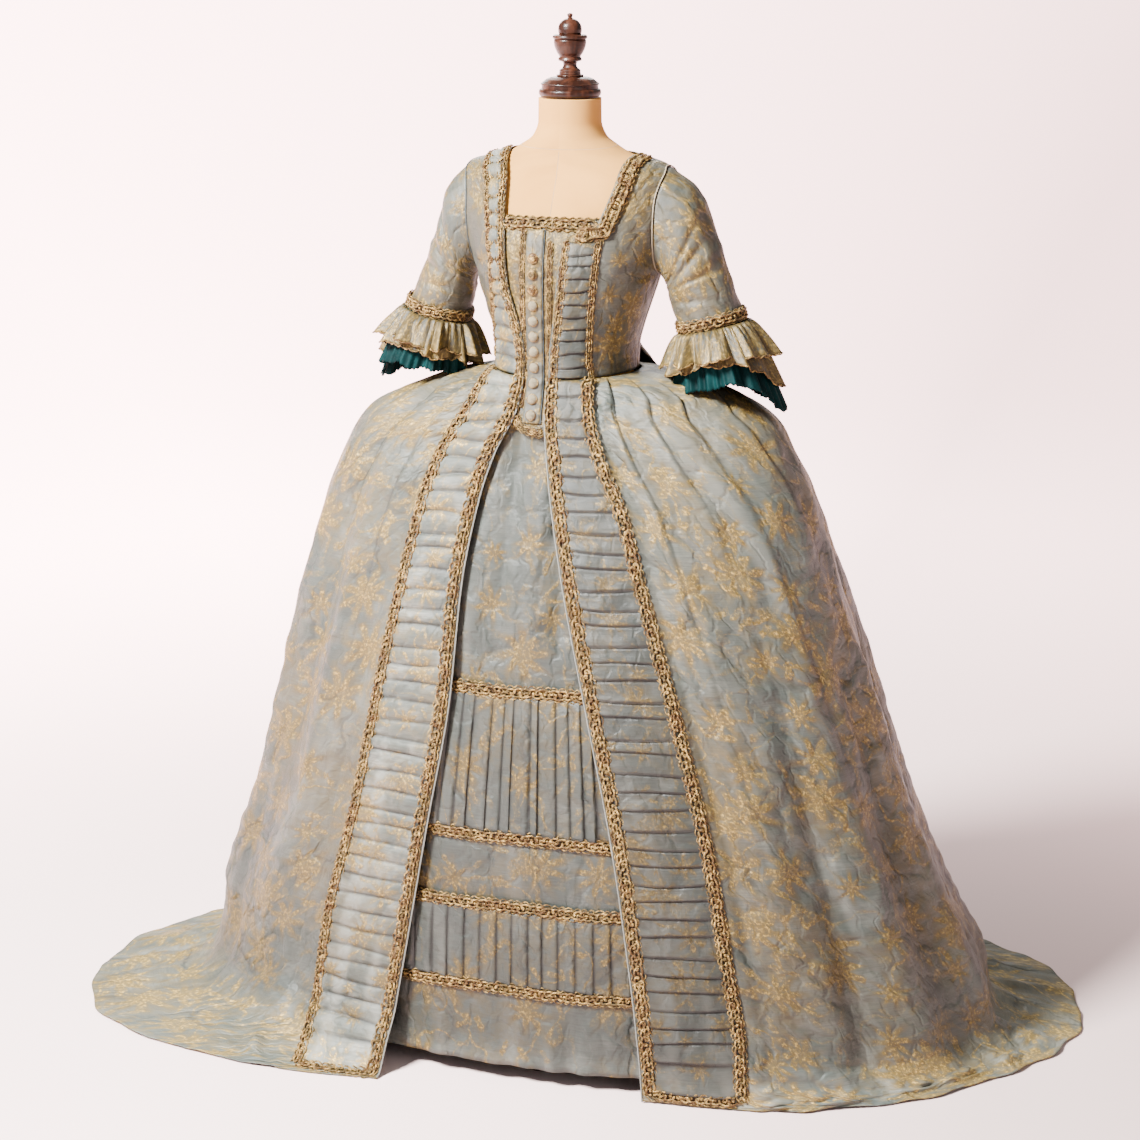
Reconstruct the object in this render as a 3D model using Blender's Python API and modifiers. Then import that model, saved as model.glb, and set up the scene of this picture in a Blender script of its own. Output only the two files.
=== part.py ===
"""A robe a la francaise standing on a limbless dress form.

Metres, +Z up. The front faces -Y and the wearer's left is +X. The origin is
the middle of the stand's underside, on the floor.

Every piece of cloth is a thin wall on one of two surfaces. body() is the
stayed bodice over the form and skirt() is the skirt over its side hoops, with
the train laid on the floor. Both are read from short tables of sections. An
angle of 0 is the front, and it grows towards the wearer's left.
"""

import math

import bmesh
import bpy
import numpy as np

GARMENT = "robe_a_la_francaise"
GAP = 0.0004             # between two pieces at a seam
TRIM_OVER = 0.0011       # trimming above the petticoat
SIDE_SEAM_HALF = 0.0006  # the walls lean together at the bodice's sides

# Cloth and trimming
SILK = 0.0018            # brocade with its linen backing
RUFFLE = 0.0012          # light silk of the sleeve ruffles
BRAID = 0.0030           # height of the gold braid
BRAID_WIDTH = 0.016
BODICE_BRAID_WIDTH = 0.010
WIDE_BRAID = 0.040       # on the left neckline, where it covers the whole border
BRAID_OVER = 0.0008      # braid above the cloth it is sewn to
ROUND_SIDE_OVER = 0.0009 # more where the right outer braid goes round the waist
SKIRT_OVER = 0.0004      # more on the skirt, which bends under its trimming
EDGE_SHOWS = 0.001       # cloth left beyond the braid
ROBING_WALL = 0.0014
ROBING_OVER = 0.0012     # gathered band above the gown's front

# Levels
WAIST = 1.115
NECK_TOP_RIGHT = 1.449  # upper edge of the gown beside the neck
NECK_TOP_LEFT = 1.443
STOMACHER_TOP = 1.357
STOMACHER_POINT = 1.030
PETTICOAT_HEM = 0.030
FORM_BOTTOM = 0.860
CAP_BOTTOM = 1.525
FINIAL_TOP = 1.650

# Armhole, an oval seen from the side
ARMHOLE_MIDDLE = 1.346
ARMHOLE_HALF_HEIGHT = 0.0805
ARMHOLE_HALF_DEPTH = 0.0575

TRAIN_MIDDLE = 0.20     # the train's outline is measured from here, behind the axis
BACK_SEAM = math.radians(138)
BACK_SEAM_AT_WAIST = math.radians(150)


def table(names, *rows):
    return dict(zip(names.split(), np.array(rows, float).T))


# Outside of the bodice: half width, depth before and behind the axis, and how
# square the oval is. The rows above the gown's edge are the neck of the form.
BODY = table(
    "z half front back square",
    (1.530, 0.0500, 0.0500, 0.0500, 2.0),
    (1.490, 0.0505, 0.0505, 0.0520, 2.0),
    (1.470, 0.0580, 0.0545, 0.0560, 2.0),
    (1.455, 0.0790, 0.0580, 0.0600, 2.0),
    (1.445, 0.1000, 0.0610, 0.0640, 2.0),
    (1.437, 0.1280, 0.0650, 0.0720, 2.0),
    (1.428, 0.1530, 0.0700, 0.0800, 2.1),
    (1.415, 0.1670, 0.0770, 0.0880, 2.2),
    (1.395, 0.1710, 0.0890, 0.0980, 2.2),
    (1.360, 0.1680, 0.1080, 0.1070, 2.2),
    (1.320, 0.1590, 0.1240, 0.1090, 2.2),
    (1.280, 0.1480, 0.1310, 0.1070, 2.15),
    (1.250, 0.1400, 0.1320, 0.1030, 2.1),
    (1.220, 0.1300, 0.1310, 0.0990, 2.1),
    (1.180, 0.1170, 0.1290, 0.0940, 2.1),
    (1.150, 0.1100, 0.1275, 0.0910, 2.1),
    (1.115, 0.1085, 0.1265, 0.0900, 2.1),
    (1.060, 0.1150, 0.1260, 0.0930, 2.1),
    (0.960, 0.1380, 0.1200, 0.1100, 2.2),
    (0.850, 0.1450, 0.1150, 0.1200, 2.2),
)

# Outside of the gown's skirt where it falls: reach to the wearer's right and
# left, before and behind the axis, and the line on which it is widest.
SKIRT = table(
    "z right left front back widest_y square",
    (1.115, 0.1085, 0.1085, 0.1265, 0.090, 0.000, 2.1),
    (1.108, 0.1500, 0.1850, 0.1290, 0.105, 0.000, 2.0),
    (1.095, 0.2050, 0.2400, 0.1320, 0.120, 0.000, 2.0),
    (1.072, 0.2620, 0.2890, 0.1385, 0.140, 0.005, 2.1),
    (1.040, 0.3240, 0.3300, 0.1470, 0.162, 0.010, 2.2),
    (0.995, 0.3600, 0.3530, 0.1580, 0.188, 0.015, 2.3),
    (0.930, 0.3940, 0.3810, 0.1740, 0.222, 0.025, 2.35),
    (0.800, 0.4370, 0.4200, 0.1960, 0.275, 0.040, 2.35),
    (0.600, 0.4930, 0.4780, 0.2180, 0.345, 0.065, 2.3),
    (0.400, 0.5550, 0.5370, 0.2330, 0.410, 0.095, 2.25),
    (0.240, 0.6250, 0.5980, 0.2420, 0.462, 0.125, 2.2),
    (0.110, 0.6650, 0.6550, 0.2480, 0.510, 0.160, 2.15),
)

# The hem on the floor: its distance from TRAIN_MIDDLE in each direction, on the
# wearer's right and left, and how much of that cloth lies flat.
HEM = table(
    "degrees right left right_lies left_lies",
    (0, 0.480, 0.450, 0.010, 0.000),
    (25, 0.530, 0.472, 0.025, 0.000),
    (35, 0.600, 0.511, 0.060, 0.002),
    (45, 0.690, 0.565, 0.110, 0.012),
    (55, 0.785, 0.615, 0.160, 0.020),
    (65, 0.865, 0.668, 0.195, 0.033),
    (75, 0.885, 0.723, 0.190, 0.058),
    (85, 0.860, 0.775, 0.160, 0.100),
    (95, 0.790, 0.805, 0.125, 0.145),
    (105, 0.730, 0.797, 0.120, 0.185),
    (115, 0.680, 0.760, 0.140, 0.210),
    (125, 0.640, 0.690, 0.165, 0.210),
    (140, 0.600, 0.630, 0.195, 0.210),
    (160, 0.560, 0.570, 0.200, 0.205),
    (180, 0.545, 0.545, 0.200, 0.200),
)

# How the cloth comes down on to the floor: the share still to lie, and its height.
FLOOR = table(
    "share z",
    (1.00, 0.0450),
    (0.62, 0.0130),
    (0.30, 0.0045),
    (0.00, 0.0026),
)

# Front edges of the gown, as distances from the middle: the lines of the inner
# and the outer braid. The gown lies a little more open on the wearer's right.
FRONT = table(
    "z right_inner right_outer left_inner left_outer",
    (1.443, 0.090, 0.122, 0.109, 0.124),
    (1.400, 0.083, 0.106, 0.101, 0.114),
    (1.360, 0.079, 0.099, 0.089, 0.101),
    (1.338, 0.076, 0.095, 0.081, 0.091),
    (1.330, 0.075, 0.094, 0.037, 0.083),
    (1.260, 0.068, 0.088, 0.029, 0.073),
    (1.190, 0.047, 0.0895, 0.021, 0.066),
    (1.150, 0.040, 0.0950, 0.016, 0.063),
    (1.115, 0.042, 0.101, 0.015, 0.066),
    (1.070, 0.050, 0.118, 0.016, 0.072),
    (1.000, 0.084, 0.157, 0.027, 0.096),
    (0.930, 0.104, 0.182, 0.040, 0.132),
    (0.800, 0.126, 0.213, 0.067, 0.175),
    (0.620, 0.141, 0.253, 0.109, 0.229),
    (0.420, 0.176, 0.295, 0.153, 0.281),
    (0.230, 0.209, 0.345, 0.184, 0.317),
    (0.100, 0.233, 0.366, 0.201, 0.340),
    (0.000, 0.248, 0.374, 0.208, 0.347),
)

# The loose back, from the nape to the top of the skirt: its half width, and how
# far it stands off the bodice in the middle and at its edges
SACK = table(
    "z half middle edge",
    (1.440, 0.062, 0.0038, 0.0038),
    (1.428, 0.067, 0.0042, 0.0042),
    (1.412, 0.071, 0.0045, 0.0045),
    (1.380, 0.075, 0.0060, 0.0045),
    (1.300, 0.078, 0.0160, 0.0060),
    (1.210, 0.076, 0.0360, 0.0120),
    (1.150, 0.080, 0.0580, 0.0220),
)

# How far the loose back swings out behind the skirt, in the middle
SWING = table(
    "z out",
    (1.100, 0.052),
    (1.050, 0.046),
    (1.000, 0.038),
    (0.940, 0.028),
    (0.860, 0.020),
    (0.750, 0.014),
    (0.600, 0.010),
    (0.400, 0.006),
    (0.200, 0.002),
    (0.050, 0.000),
    (0.000, 0.000),
)

# Section of the two double box pleats, from the middle of the back outwards
BOX_PLEAT = table(
    "share rise",
    (0.00, 0.001),
    (0.12, 0.016),
    (0.46, 0.017),
    (0.54, 0.009),
    (0.83, 0.009),
    (0.92, 0.001),
    (1.00, 0.000),
)

PETTICOAT = table(
    "z right left front back widest_y square",
    (1.100, 0.1051, 0.1051, 0.1222, 0.0868, 0.000, 2.1),
    (1.086, 0.1500, 0.1550, 0.1220, 0.093, 0.000, 2.0),
    (1.068, 0.205, 0.215, 0.1255, 0.105, 0.000, 2.0),
    (1.040, 0.280, 0.290, 0.133, 0.135, 0.005, 2.1),
    (0.995, 0.330, 0.326, 0.143, 0.165, 0.015, 2.2),
    (0.930, 0.370, 0.358, 0.160, 0.200, 0.025, 2.3),
    (0.800, 0.415, 0.398, 0.182, 0.253, 0.040, 2.35),
    (0.600, 0.471, 0.456, 0.203, 0.323, 0.065, 2.3),
    (0.400, 0.532, 0.515, 0.217, 0.388, 0.095, 2.25),
    (0.240, 0.580, 0.550, 0.224, 0.430, 0.105, 2.15),
    (0.110, 0.590, 0.550, 0.225, 0.440, 0.110, 2.1),
    (0.030, 0.590, 0.530, 0.226, 0.445, 0.110, 2.1),
)

# Sleeve rings, each an oval between an outer and an inner point. The left sleeve
# is held a little further out.
SLEEVE = table(
    "along left_outer left_inner right_outer right_inner outer_z inner_z half_depth",
    (0.00, 0.166, 0.1500, 0.166, 0.1500, 1.4260, 1.2660, 0.0570),
    (0.12, 0.200, 0.1512, 0.190, 0.1510, 1.3980, 1.2610, 0.0580),
    (0.32, 0.223, 0.1550, 0.206, 0.1530, 1.3480, 1.2500, 0.0570),
    (0.50, 0.239, 0.1590, 0.219, 0.1550, 1.3050, 1.2370, 0.0550),
    (0.67, 0.252, 0.1640, 0.234, 0.1580, 1.2680, 1.2220, 0.0530),
    (0.83, 0.265, 0.1710, 0.250, 0.1625, 1.2320, 1.2020, 0.0520),
    (1.00, 0.279, 0.1800, 0.266, 0.1690, 1.1990, 1.1760, 0.0510),
)

# Sleeve ruffles: drop at the inner and the outer arm, radius at both ends, depth
# of the waves and where they start round the arm
RUFFLES = table(
    "inner_drop outer_drop top_radius foot_radius depth start",
    (0.052, 0.068, 0.0530, 0.084, 0.0060, 0.0),
    (0.052, 0.058, 0.0530, 0.079, 0.0060, 0.6),
    (0.052, 0.150, 0.0450, 0.074, 0.0035, 0.3),
    (0.054, 0.128, 0.0450, 0.070, 0.0035, 0.0),
)
RUFFLE_NAMES = ("flounce_left", "flounce_right", "engageante_left", "engageante_right")
RUFFLE_WAVES = 10

# Petticoat trimming: braids by height, pleated flounces between two of them
PETTICOAT_BRAIDS = (0.640, 0.409, 0.297, 0.160)
PETTICOAT_FLOUNCES = (
    ("petticoat_flounce_upper", 0.627, 0.424, 0.205, 0.175, 17),
    ("petticoat_flounce_lower", 0.284, 0.175, 0.250, 0.225, 17),
)

BODICE_PLEATS = {1: 11, -1: 15}
SKIRT_PLEATS = 38
WAIST_PLEATS = 6
WAIST_PLEAT_DEPTH = 0.006
BUTTONS = 11

COLOURS = {
    "brocade": ((0.36, 0.42, 0.42), 0.55, 0.0),
    "braid": ((0.42, 0.29, 0.12), 0.50, 0.3),
    "teal": ((0.02, 0.14, 0.15), 0.60, 0.0),
    "linen": ((0.78, 0.69, 0.56), 0.80, 0.0),
    "walnut": ((0.06, 0.03, 0.02), 0.35, 0.0),
    "button": ((0.45, 0.40, 0.28), 0.50, 0.0),
}


# ------------------------------------------------------------- reading tables
def curve_through(knots, values, at):
    """Smooth curve through table rows that never overshoots a row."""
    at = np.asarray(at, float)
    flat = at.reshape(-1)
    if values.ndim == 1:
        values = np.repeat(values[:, None], len(flat), axis=1)
    if knots[0] > knots[-1]:
        knots, values = knots[::-1], values[::-1]
    extra = (1,) * (values.ndim - 2)
    slope = np.diff(values, axis=0) / np.diff(knots).reshape((-1, 1) + extra)
    same_way = slope[:-1] * slope[1:] > 0
    both = np.where(same_way, slope[:-1] + slope[1:], 1)
    inner = np.where(same_way, 2 * slope[:-1] * slope[1:] / both, 0)
    tangent = np.concatenate([slope[:1], inner, slope[-1:]])
    low = np.clip(np.searchsorted(knots, flat, side="right") - 1, 0, len(knots) - 2)
    each = np.arange(len(flat))
    width = (knots[low + 1] - knots[low]).reshape((-1,) + extra)
    t = (flat - knots[low]).reshape((-1,) + extra) / width
    start, end = values[low, each], values[low + 1, each]
    found = (
        (2 * t**3 - 3 * t**2 + 1) * start
        + (t**3 - 2 * t**2 + t) * width * tangent[low, each]
        + (3 * t**2 - 2 * t**3) * end
        + (t**3 - t**2) * width * tangent[low + 1, each]
    )
    return found.reshape(at.shape + values.shape[2:])


def look_up(rows, name, at, key="z"):
    return curve_through(rows[key], rows[name], at)


def smooth_step(low, high, value):
    t = np.clip((value - low) / (high - low), 0, 1)
    return t * t * (3 - 2 * t)


# ------------------------------------------------------------------ surfaces
def oval(angle, z, right, left, front, back, widest_y, square):
    """A section of the figure: half ovals joined on the line where it is widest."""
    sine, cosine = np.sin(angle), np.cos(angle)
    across = np.where(sine > 0, left, right)
    along = np.where(cosine > 0, front + widest_y, back - widest_y)
    total = np.abs(sine / across) ** square + np.abs(cosine / along) ** square
    reach = total ** (-1 / square)
    x = sine * reach
    return np.stack([x, widest_y - cosine * reach, np.zeros_like(x) + z], axis=-1)


def body(angle, z):
    angle, z = np.broadcast_arrays(angle, z)
    half = look_up(BODY, "half", z)
    front = look_up(BODY, "front", z)
    back = look_up(BODY, "back", z)
    return oval(angle, z, half, half, front, back, 0.0, look_up(BODY, "square", z))


def petticoat(angle, z):
    angle, z = np.broadcast_arrays(angle, z)
    names = "right left front back widest_y square".split()
    return oval(angle, z, *(look_up(PETTICOAT, name, z) for name in names))


def hem_reach(angle, share):
    degrees = np.degrees(np.abs(angle))
    reach = {}
    for side in ("right", "left"):
        lies = look_up(HEM, side + "_lies", degrees, "degrees")
        reach[side] = look_up(HEM, side, degrees, "degrees") - share * lies
    return np.where(angle > 0, reach["left"], reach["right"])


def skirt_levels(angle):
    """The skirt's outline at each level, for a list of angles."""
    angle = (angle + math.pi) % (2 * math.pi) - math.pi
    levels = [oval(angle, *row) for row in zip(*SKIRT.values())]
    for share, z in zip(FLOOR["share"], FLOOR["z"]):
        reach = hem_reach(angle, share)
        y = TRAIN_MIDDLE - np.cos(angle) * reach
        levels.append(np.stack([np.sin(angle) * reach, y, np.full_like(y, z)], axis=-1))
    return np.array(levels)


def distances_down():
    """How far down the cloth each level lies, at the wearer's left, from 0 to 1."""
    side = skirt_levels(np.array([math.pi / 2]))[:, 0]
    run = np.cumsum(np.linalg.norm(np.diff(side, axis=0), axis=1))
    return np.concatenate([[0], run / run[-1]])


FALLS = distances_down()
FALL_HEIGHTS = np.concatenate([SKIRT["z"], FLOOR["z"]])


def skirt(angle, fall):
    """The skirt at an angle, fall going from 0 at the waist to 1 at the hem."""
    angle, fall = np.broadcast_arrays(angle, fall)
    levels = skirt_levels(angle.reshape(-1))
    points = curve_through(FALLS, levels, fall.reshape(-1))
    return points.reshape(angle.shape + (3,))


def fall_at(z):
    falls = np.linspace(0, 1, 1001)
    return np.interp(-np.asarray(z), -curve_through(FALLS, FALL_HEIGHTS, falls), falls)


def height_at(fall):
    return curve_through(FALLS, FALL_HEIGHTS, fall)


def front_shell(angle, z):
    """The bodice above the waist, and the front of the skirt below it."""
    angle, z = np.broadcast_arrays(np.asarray(angle, float), np.asarray(z, float))
    above = body(angle, z)
    below = skirt(angle, fall_at(z))
    return np.where((z >= WAIST)[..., None], above, below)


def lifted(surface, angle, down, out):
    """A surface's points moved out along its normal."""
    angle, down = np.broadcast_arrays(np.asarray(angle, float), np.asarray(down, float))
    step = 1e-4
    sideways = surface(angle + step, down) - surface(angle - step, down)
    lengthways = surface(angle, down + step) - surface(angle, down - step)
    normal = np.cross(sideways, lengthways)
    outward = np.stack([np.sin(angle), -np.cos(angle), np.full_like(angle, 0.3)], axis=-1)
    normal *= np.sign(np.sum(normal * outward, axis=-1, keepdims=True))
    normal /= np.linalg.norm(normal, axis=-1, keepdims=True)
    return surface(angle, down) + normal * np.asarray(out)[..., None]


def angle_of_x(surface, down, x, widest=math.radians(88)):
    """The angle at which a surface is x from the middle, for each row."""
    tries = np.linspace(0, widest, 177) * np.sign(x.flat[0])
    found = []
    for each_down, each_x in zip(down, x):
        reach = surface(tries, np.full_like(tries, each_down))[:, 0]
        found.append(np.interp(abs(each_x), np.abs(reach), tries * np.sign(tries[-1])))
    return np.array(found) * np.sign(x.flat[0])


# ------------------------------------------------------------ making objects
def clear_scene():
    for item in list(bpy.data.objects):
        bpy.data.objects.remove(item, do_unlink=True)


def new_collection(name):
    made = bpy.data.collections.new(name)
    bpy.context.scene.collection.children.link(made)
    return made


def material_for(node, finish):
    colour, roughness, metallic = COLOURS[finish]
    made = bpy.data.materials.new(node)
    made.use_nodes = True
    shader = made.node_tree.nodes["Principled BSDF"]
    shader.inputs["Base Color"].default_value = (*colour, 1)
    shader.inputs["Roughness"].default_value = roughness
    shader.inputs["Metallic"].default_value = metallic
    return made


def add_object(name, mesh, finish, smooth=True):
    if smooth:
        mesh.shade_smooth()
        mesh.set_sharp_from_angle(angle=math.radians(50))
    mesh.materials.append(material_for(name, finish))
    made = bpy.data.objects.new(name, mesh)
    bpy.data.collections[GARMENT].objects.link(made)
    return made


def add_modifier(item, kind, **settings):
    modifier = item.modifiers.new(kind.lower(), kind)
    for key, value in settings.items():
        setattr(modifier, key, value)
    return modifier


def grid_mesh(name, grid, around=False):
    """An open sheet through rows of points: rows go down, columns to the left."""
    rows, columns = grid.shape[:2]
    last = columns if around else columns - 1
    faces = []
    for r in range(rows - 1):
        for c in range(last):
            d = (c + 1) % columns
            faces.append((r * columns + c, (r + 1) * columns + c,
                          (r + 1) * columns + d, r * columns + d))
    mesh = bpy.data.meshes.new(name)
    mesh.from_pydata(grid.reshape(-1, 3).tolist(), [], faces)
    mesh.update()
    return mesh


def wall(name, grid, thickness, finish, around=False):
    """Cloth: an open sheet, thickened on its inner side."""
    item = add_object(name, grid_mesh(name, grid, around), finish)
    add_modifier(item, "SOLIDIFY", thickness=thickness, offset=-1, use_rim=True,
                 use_even_offset=False, use_quality_normals=True)
    return item


def outward(grid, side):
    """Columns put in order so that the sheet faces out on either side."""
    return grid if side > 0 else grid[:, ::-1]


def sheet_normals(grid):
    normal = np.cross(np.gradient(grid, axis=0), np.gradient(grid, axis=1))
    return normal / np.linalg.norm(normal, axis=-1, keepdims=True)


def on_sheet(grid, row, column, out):
    """Points on a sheet at fractional rows and columns, moved out from it."""
    row, column = np.broadcast_arrays(np.asarray(row, float), np.asarray(column, float))
    r = np.clip(row.astype(int), 0, grid.shape[0] - 2)
    c = np.clip(column.astype(int), 0, grid.shape[1] - 2)
    down, across = (row - r)[..., None], (column - c)[..., None]

    def between(values):
        top = values[r, c] * (1 - across) + values[r, c + 1] * across
        low = values[r + 1, c] * (1 - across) + values[r + 1, c + 1] * across
        return top * (1 - down) + low * down

    normal = between(sheet_normals(grid))
    normal /= np.linalg.norm(normal, axis=-1, keepdims=True)
    return between(grid) + normal * np.asarray(out)[..., None]


def lathe(name, profile, finish, z, sides):
    """A turned piece: its outline runs from the top of the axis to the bottom."""
    mesh = bpy.data.meshes.new(name)
    edges = [(i, i + 1) for i in range(len(profile) - 1)]
    mesh.from_pydata([(radius, 0, height) for radius, height in profile], edges, [])
    item = add_object(name, mesh, finish, smooth=False)
    item.location.z = z
    add_modifier(item, "SCREW", steps=sides, render_steps=sides, angle=2 * math.pi,
                 use_merge_vertices=True, merge_threshold=1e-5, use_smooth_shade=True)
    return item


# ------------------------------------------------------------- form and stand
FORM_SIDES = 24
FORM_UNDER = 0.0084     # from the outside of the bodice to the form
NECK_UNDER = 0.0023


def make_form():
    z = np.array([CAP_BOTTOM - GAP, 1.498, 1.479, 1.464, 1.453, 1.445, 1.437, 1.428,
                  1.415, 1.39, 1.34, 1.28, 1.22, 1.17, 1.115, 1.02, FORM_BOTTOM])
    angle = np.linspace(0, 2 * math.pi, FORM_SIDES, endpoint=False)
    under = NECK_UNDER + (FORM_UNDER - NECK_UNDER) * (1 - smooth_step(1.41, 1.462, z))
    rings = lifted(body, angle[None, :], z[:, None], -under[:, None])
    rings[0, :, 2] = z[0]
    rings[-1, :, 2] = z[-1]
    mesh = grid_mesh("form_torso", rings, around=True)
    add_object("form_torso", mesh, "linen")
    shell = bmesh.new()
    shell.from_mesh(mesh)
    shell.verts.ensure_lookup_table()
    last = len(shell.verts) - FORM_SIDES
    shell.faces.new([shell.verts[i] for i in range(FORM_SIDES)])
    shell.faces.new([shell.verts[last + i] for i in reversed(range(FORM_SIDES))])
    bmesh.ops.recalc_face_normals(shell, faces=shell.faces)
    shell.to_mesh(mesh)
    shell.free()


CAP_RADIUS = 0.0475
CAP_HEIGHT = 0.034


def make_cap():
    top = CAP_HEIGHT
    lathe("neck_cap", [
        (0, top), (0.018, top), (0.030, top - 0.003), (0.040, top - 0.007),
        (0.0445, top - 0.011), (0.0445, 0.013), (CAP_RADIUS, 0.011),
        (CAP_RADIUS, 0.002), (CAP_RADIUS - 0.002, 0), (0, 0),
    ], "walnut", CAP_BOTTOM, 18)


def make_finial():
    bottom = CAP_BOTTOM + CAP_HEIGHT + GAP
    height = FINIAL_TOP - bottom
    outline = [
        (0.000, 1.00), (0.0040, 0.985), (0.0045, 0.955), (0.0030, 0.925), (0.0100, 0.90),
        (0.0165, 0.82), (0.0180, 0.74), (0.0170, 0.66), (0.0260, 0.64), (0.0265, 0.58),
        (0.0240, 0.56), (0.0240, 0.46), (0.0175, 0.32), (0.0170, 0.27), (0.0180, 0.23),
        (0.0110, 0.20), (0.0105, 0.13), (0.0160, 0.08), (0.0165, 0.00), (0.000, 0.00),
    ]
    lathe("finial", [(r, share * height) for r, share in outline], "walnut", bottom, 12)


BASE_RADIUS = 0.170
BASE_HEIGHT = 0.028
POLE_RADIUS = 0.018


def make_stand():
    lathe("stand_base", [
        (0, BASE_HEIGHT), (0.030, BASE_HEIGHT), (BASE_RADIUS - 0.012, 0.018),
        (BASE_RADIUS, 0.010), (BASE_RADIUS, 0), (0, 0),
    ], "walnut", 0, 20)
    length = FORM_BOTTOM - BASE_HEIGHT - 2 * GAP
    shape = bmesh.new()
    bmesh.ops.create_cone(shape, cap_ends=True, segments=16, radius1=POLE_RADIUS,
                          radius2=POLE_RADIUS, depth=length)
    mesh = bpy.data.meshes.new("stand_pole")
    shape.to_mesh(mesh)
    shape.free()
    pole = add_object("stand_pole", mesh, "walnut")
    pole.location.z = BASE_HEIGHT + GAP + length / 2


# --------------------------------------------------------------------- bodice
# Rows of the bodice: those between the ends of the armhole are the sleeve's too
ARMHOLE_TOP = ARMHOLE_MIDDLE + ARMHOLE_HALF_HEIGHT
ARMHOLE_FOOT = ARMHOLE_MIDDLE - ARMHOLE_HALF_HEIGHT
ARMHOLE_ROWS = (1.419, 1.404, 1.380, 1.305, 1.285, 1.274)
STEP_ROWS = (1.338, 1.330)      # where the left front steps in over the stomacher
BODICE_ROWS = np.array([*ARMHOLE_ROWS[:3], 1.358, *STEP_ROWS, *ARMHOLE_ROWS[3:],
                        ARMHOLE_FOOT, 1.235, 1.205, 1.175, 1.145, WAIST + 2 * GAP])
SHOULDER_SHARES = (0.0, 0.33, 0.68)


def armhole_y(z):
    """How far before or behind the arm's line the armhole is cut."""
    share = np.clip((z - ARMHOLE_MIDDLE) / ARMHOLE_HALF_HEIGHT, -1, 1)
    return ARMHOLE_HALF_DEPTH * np.sqrt(1 - share**2)


def body_angle_of_y(z, y):
    """The angle on the wearer's left at which the bodice is y before or behind."""
    tries = np.linspace(math.pi / 2, 0 if y < 0 else math.pi, 181)
    reach = body(tries, np.full_like(tries, z))[:, 1]
    return np.interp(abs(y), np.abs(reach), tries)


def side_angles(z, way):
    """The bodice's edge at the side seam, armhole and shoulder: way is -1 before it."""
    seam = SIDE_SEAM_HALF / 0.13
    return np.array([body_angle_of_y(each, way * armhole_y(each)) + way * seam for each in z])


BORDER_STEPS = 3        # columns of the gown's trimmed border


def front_names(side):
    return ("left_inner", "left_outer") if side > 0 else ("right_inner", "right_outer")


def border_margin(z, least=BODICE_BRAID_WIDTH / 2):
    """From a braid's line to the edge: braids grow wider below the waist."""
    return np.interp(z, [1.0, WAIST], [BRAID_WIDTH / 2 + 0.002, least])


def front_angles(surface, down, z, side, margin):
    """The gown's front edge, and the far side of its trimmed border."""
    inner, outer = front_names(side)
    near = side * (look_up(FRONT, inner, z) - margin)
    far = side * (look_up(FRONT, outer, z) + margin)
    return angle_of_x(surface, down, near), angle_of_x(surface, down, far)


def height_of_width(half):
    """The height at which the bodice's shoulder is this far from the middle."""
    heights = np.linspace(ARMHOLE_TOP, BODY["z"][3], 101)
    return np.interp(-half, -look_up(BODY, "half", heights), heights)


def bodice_front(side):
    """Rows across the front, with the shoulder seam as the first of them."""
    z = BODICE_ROWS
    near, far = front_angles(body, z, z, side, BODICE_BRAID_WIDTH / 2)
    edge = side * side_angles(z, -1)
    far = np.where(np.abs(far) > 0.94 * np.abs(edge), 0.94 * edge, far)
    border = near[:, None] + (far - near)[:, None] * np.linspace(0, 1, BORDER_STEPS + 1)
    rest = far[:, None] + (edge - far)[:, None] * np.linspace(0, 1, 4)[1:]
    angle = np.concatenate([border, rest], axis=1)
    inner, outer = front_names(side)
    margin = BODICE_BRAID_WIDTH / 2
    top = NECK_TOP_LEFT if side > 0 else NECK_TOP_RIGHT
    far_top = height_of_width(FRONT[outer][0] + margin)
    seam_z = np.concatenate([np.linspace(top, far_top, BORDER_STEPS + 1),
                             np.linspace(far_top, ARMHOLE_TOP, 4)[1:]])
    seam_angle = np.full_like(seam_z, side * side_angles(np.array([ARMHOLE_TOP]), -1)[0])
    seam_x = np.abs(body(seam_angle, seam_z)[:, 0])
    first_x = np.abs(body(angle[0], z[0])[:, 0])
    over_z, over_angle = [seam_z], [seam_angle]
    for share in SHOULDER_SHARES[1:]:
        row_z = seam_z + (z[0] - seam_z) * share**2
        row_x = seam_x + (first_x - seam_x) * share
        row_angle = angle_of_x(body, row_z, side * row_x)
        row_angle[-1] = side * side_angles(row_z[-1:], -1)[0]
        shares = np.linspace(0, 1, 4)
        row_angle[BORDER_STEPS:] = row_angle[BORDER_STEPS] * (1 - shares) + row_angle[-1] * shares
        over_z.append(row_z)
        over_angle.append(row_angle)
    rows = np.concatenate([over_z, np.broadcast_to(z[:, None], angle.shape)])
    return outward(body(np.concatenate([over_angle, angle]), rows), side)


def bodice_back():
    z = np.concatenate([[NECK_TOP_LEFT, 1.4345, ARMHOLE_TOP], BODICE_ROWS])
    start = side_angles(z, 1)
    shares = np.linspace(0, 1, 12)
    angle = start[:, None] + (2 * math.pi - 2 * start[:, None]) * shares
    rows = z[:, None] + 0 * angle
    rows[0] += (NECK_TOP_RIGHT - NECK_TOP_LEFT) * smooth_step(0.55, 1.0, shares)
    return body(angle, rows)


def make_bodice():
    fronts = {}
    for side, name in ((1, "left"), (-1, "right")):
        fronts[side] = bodice_front(side)
        wall(f"bodice_front_{name}", fronts[side], SILK, "brocade")
    wall("bodice_back", bodice_back(), SILK, "brocade")
    return fronts


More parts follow.
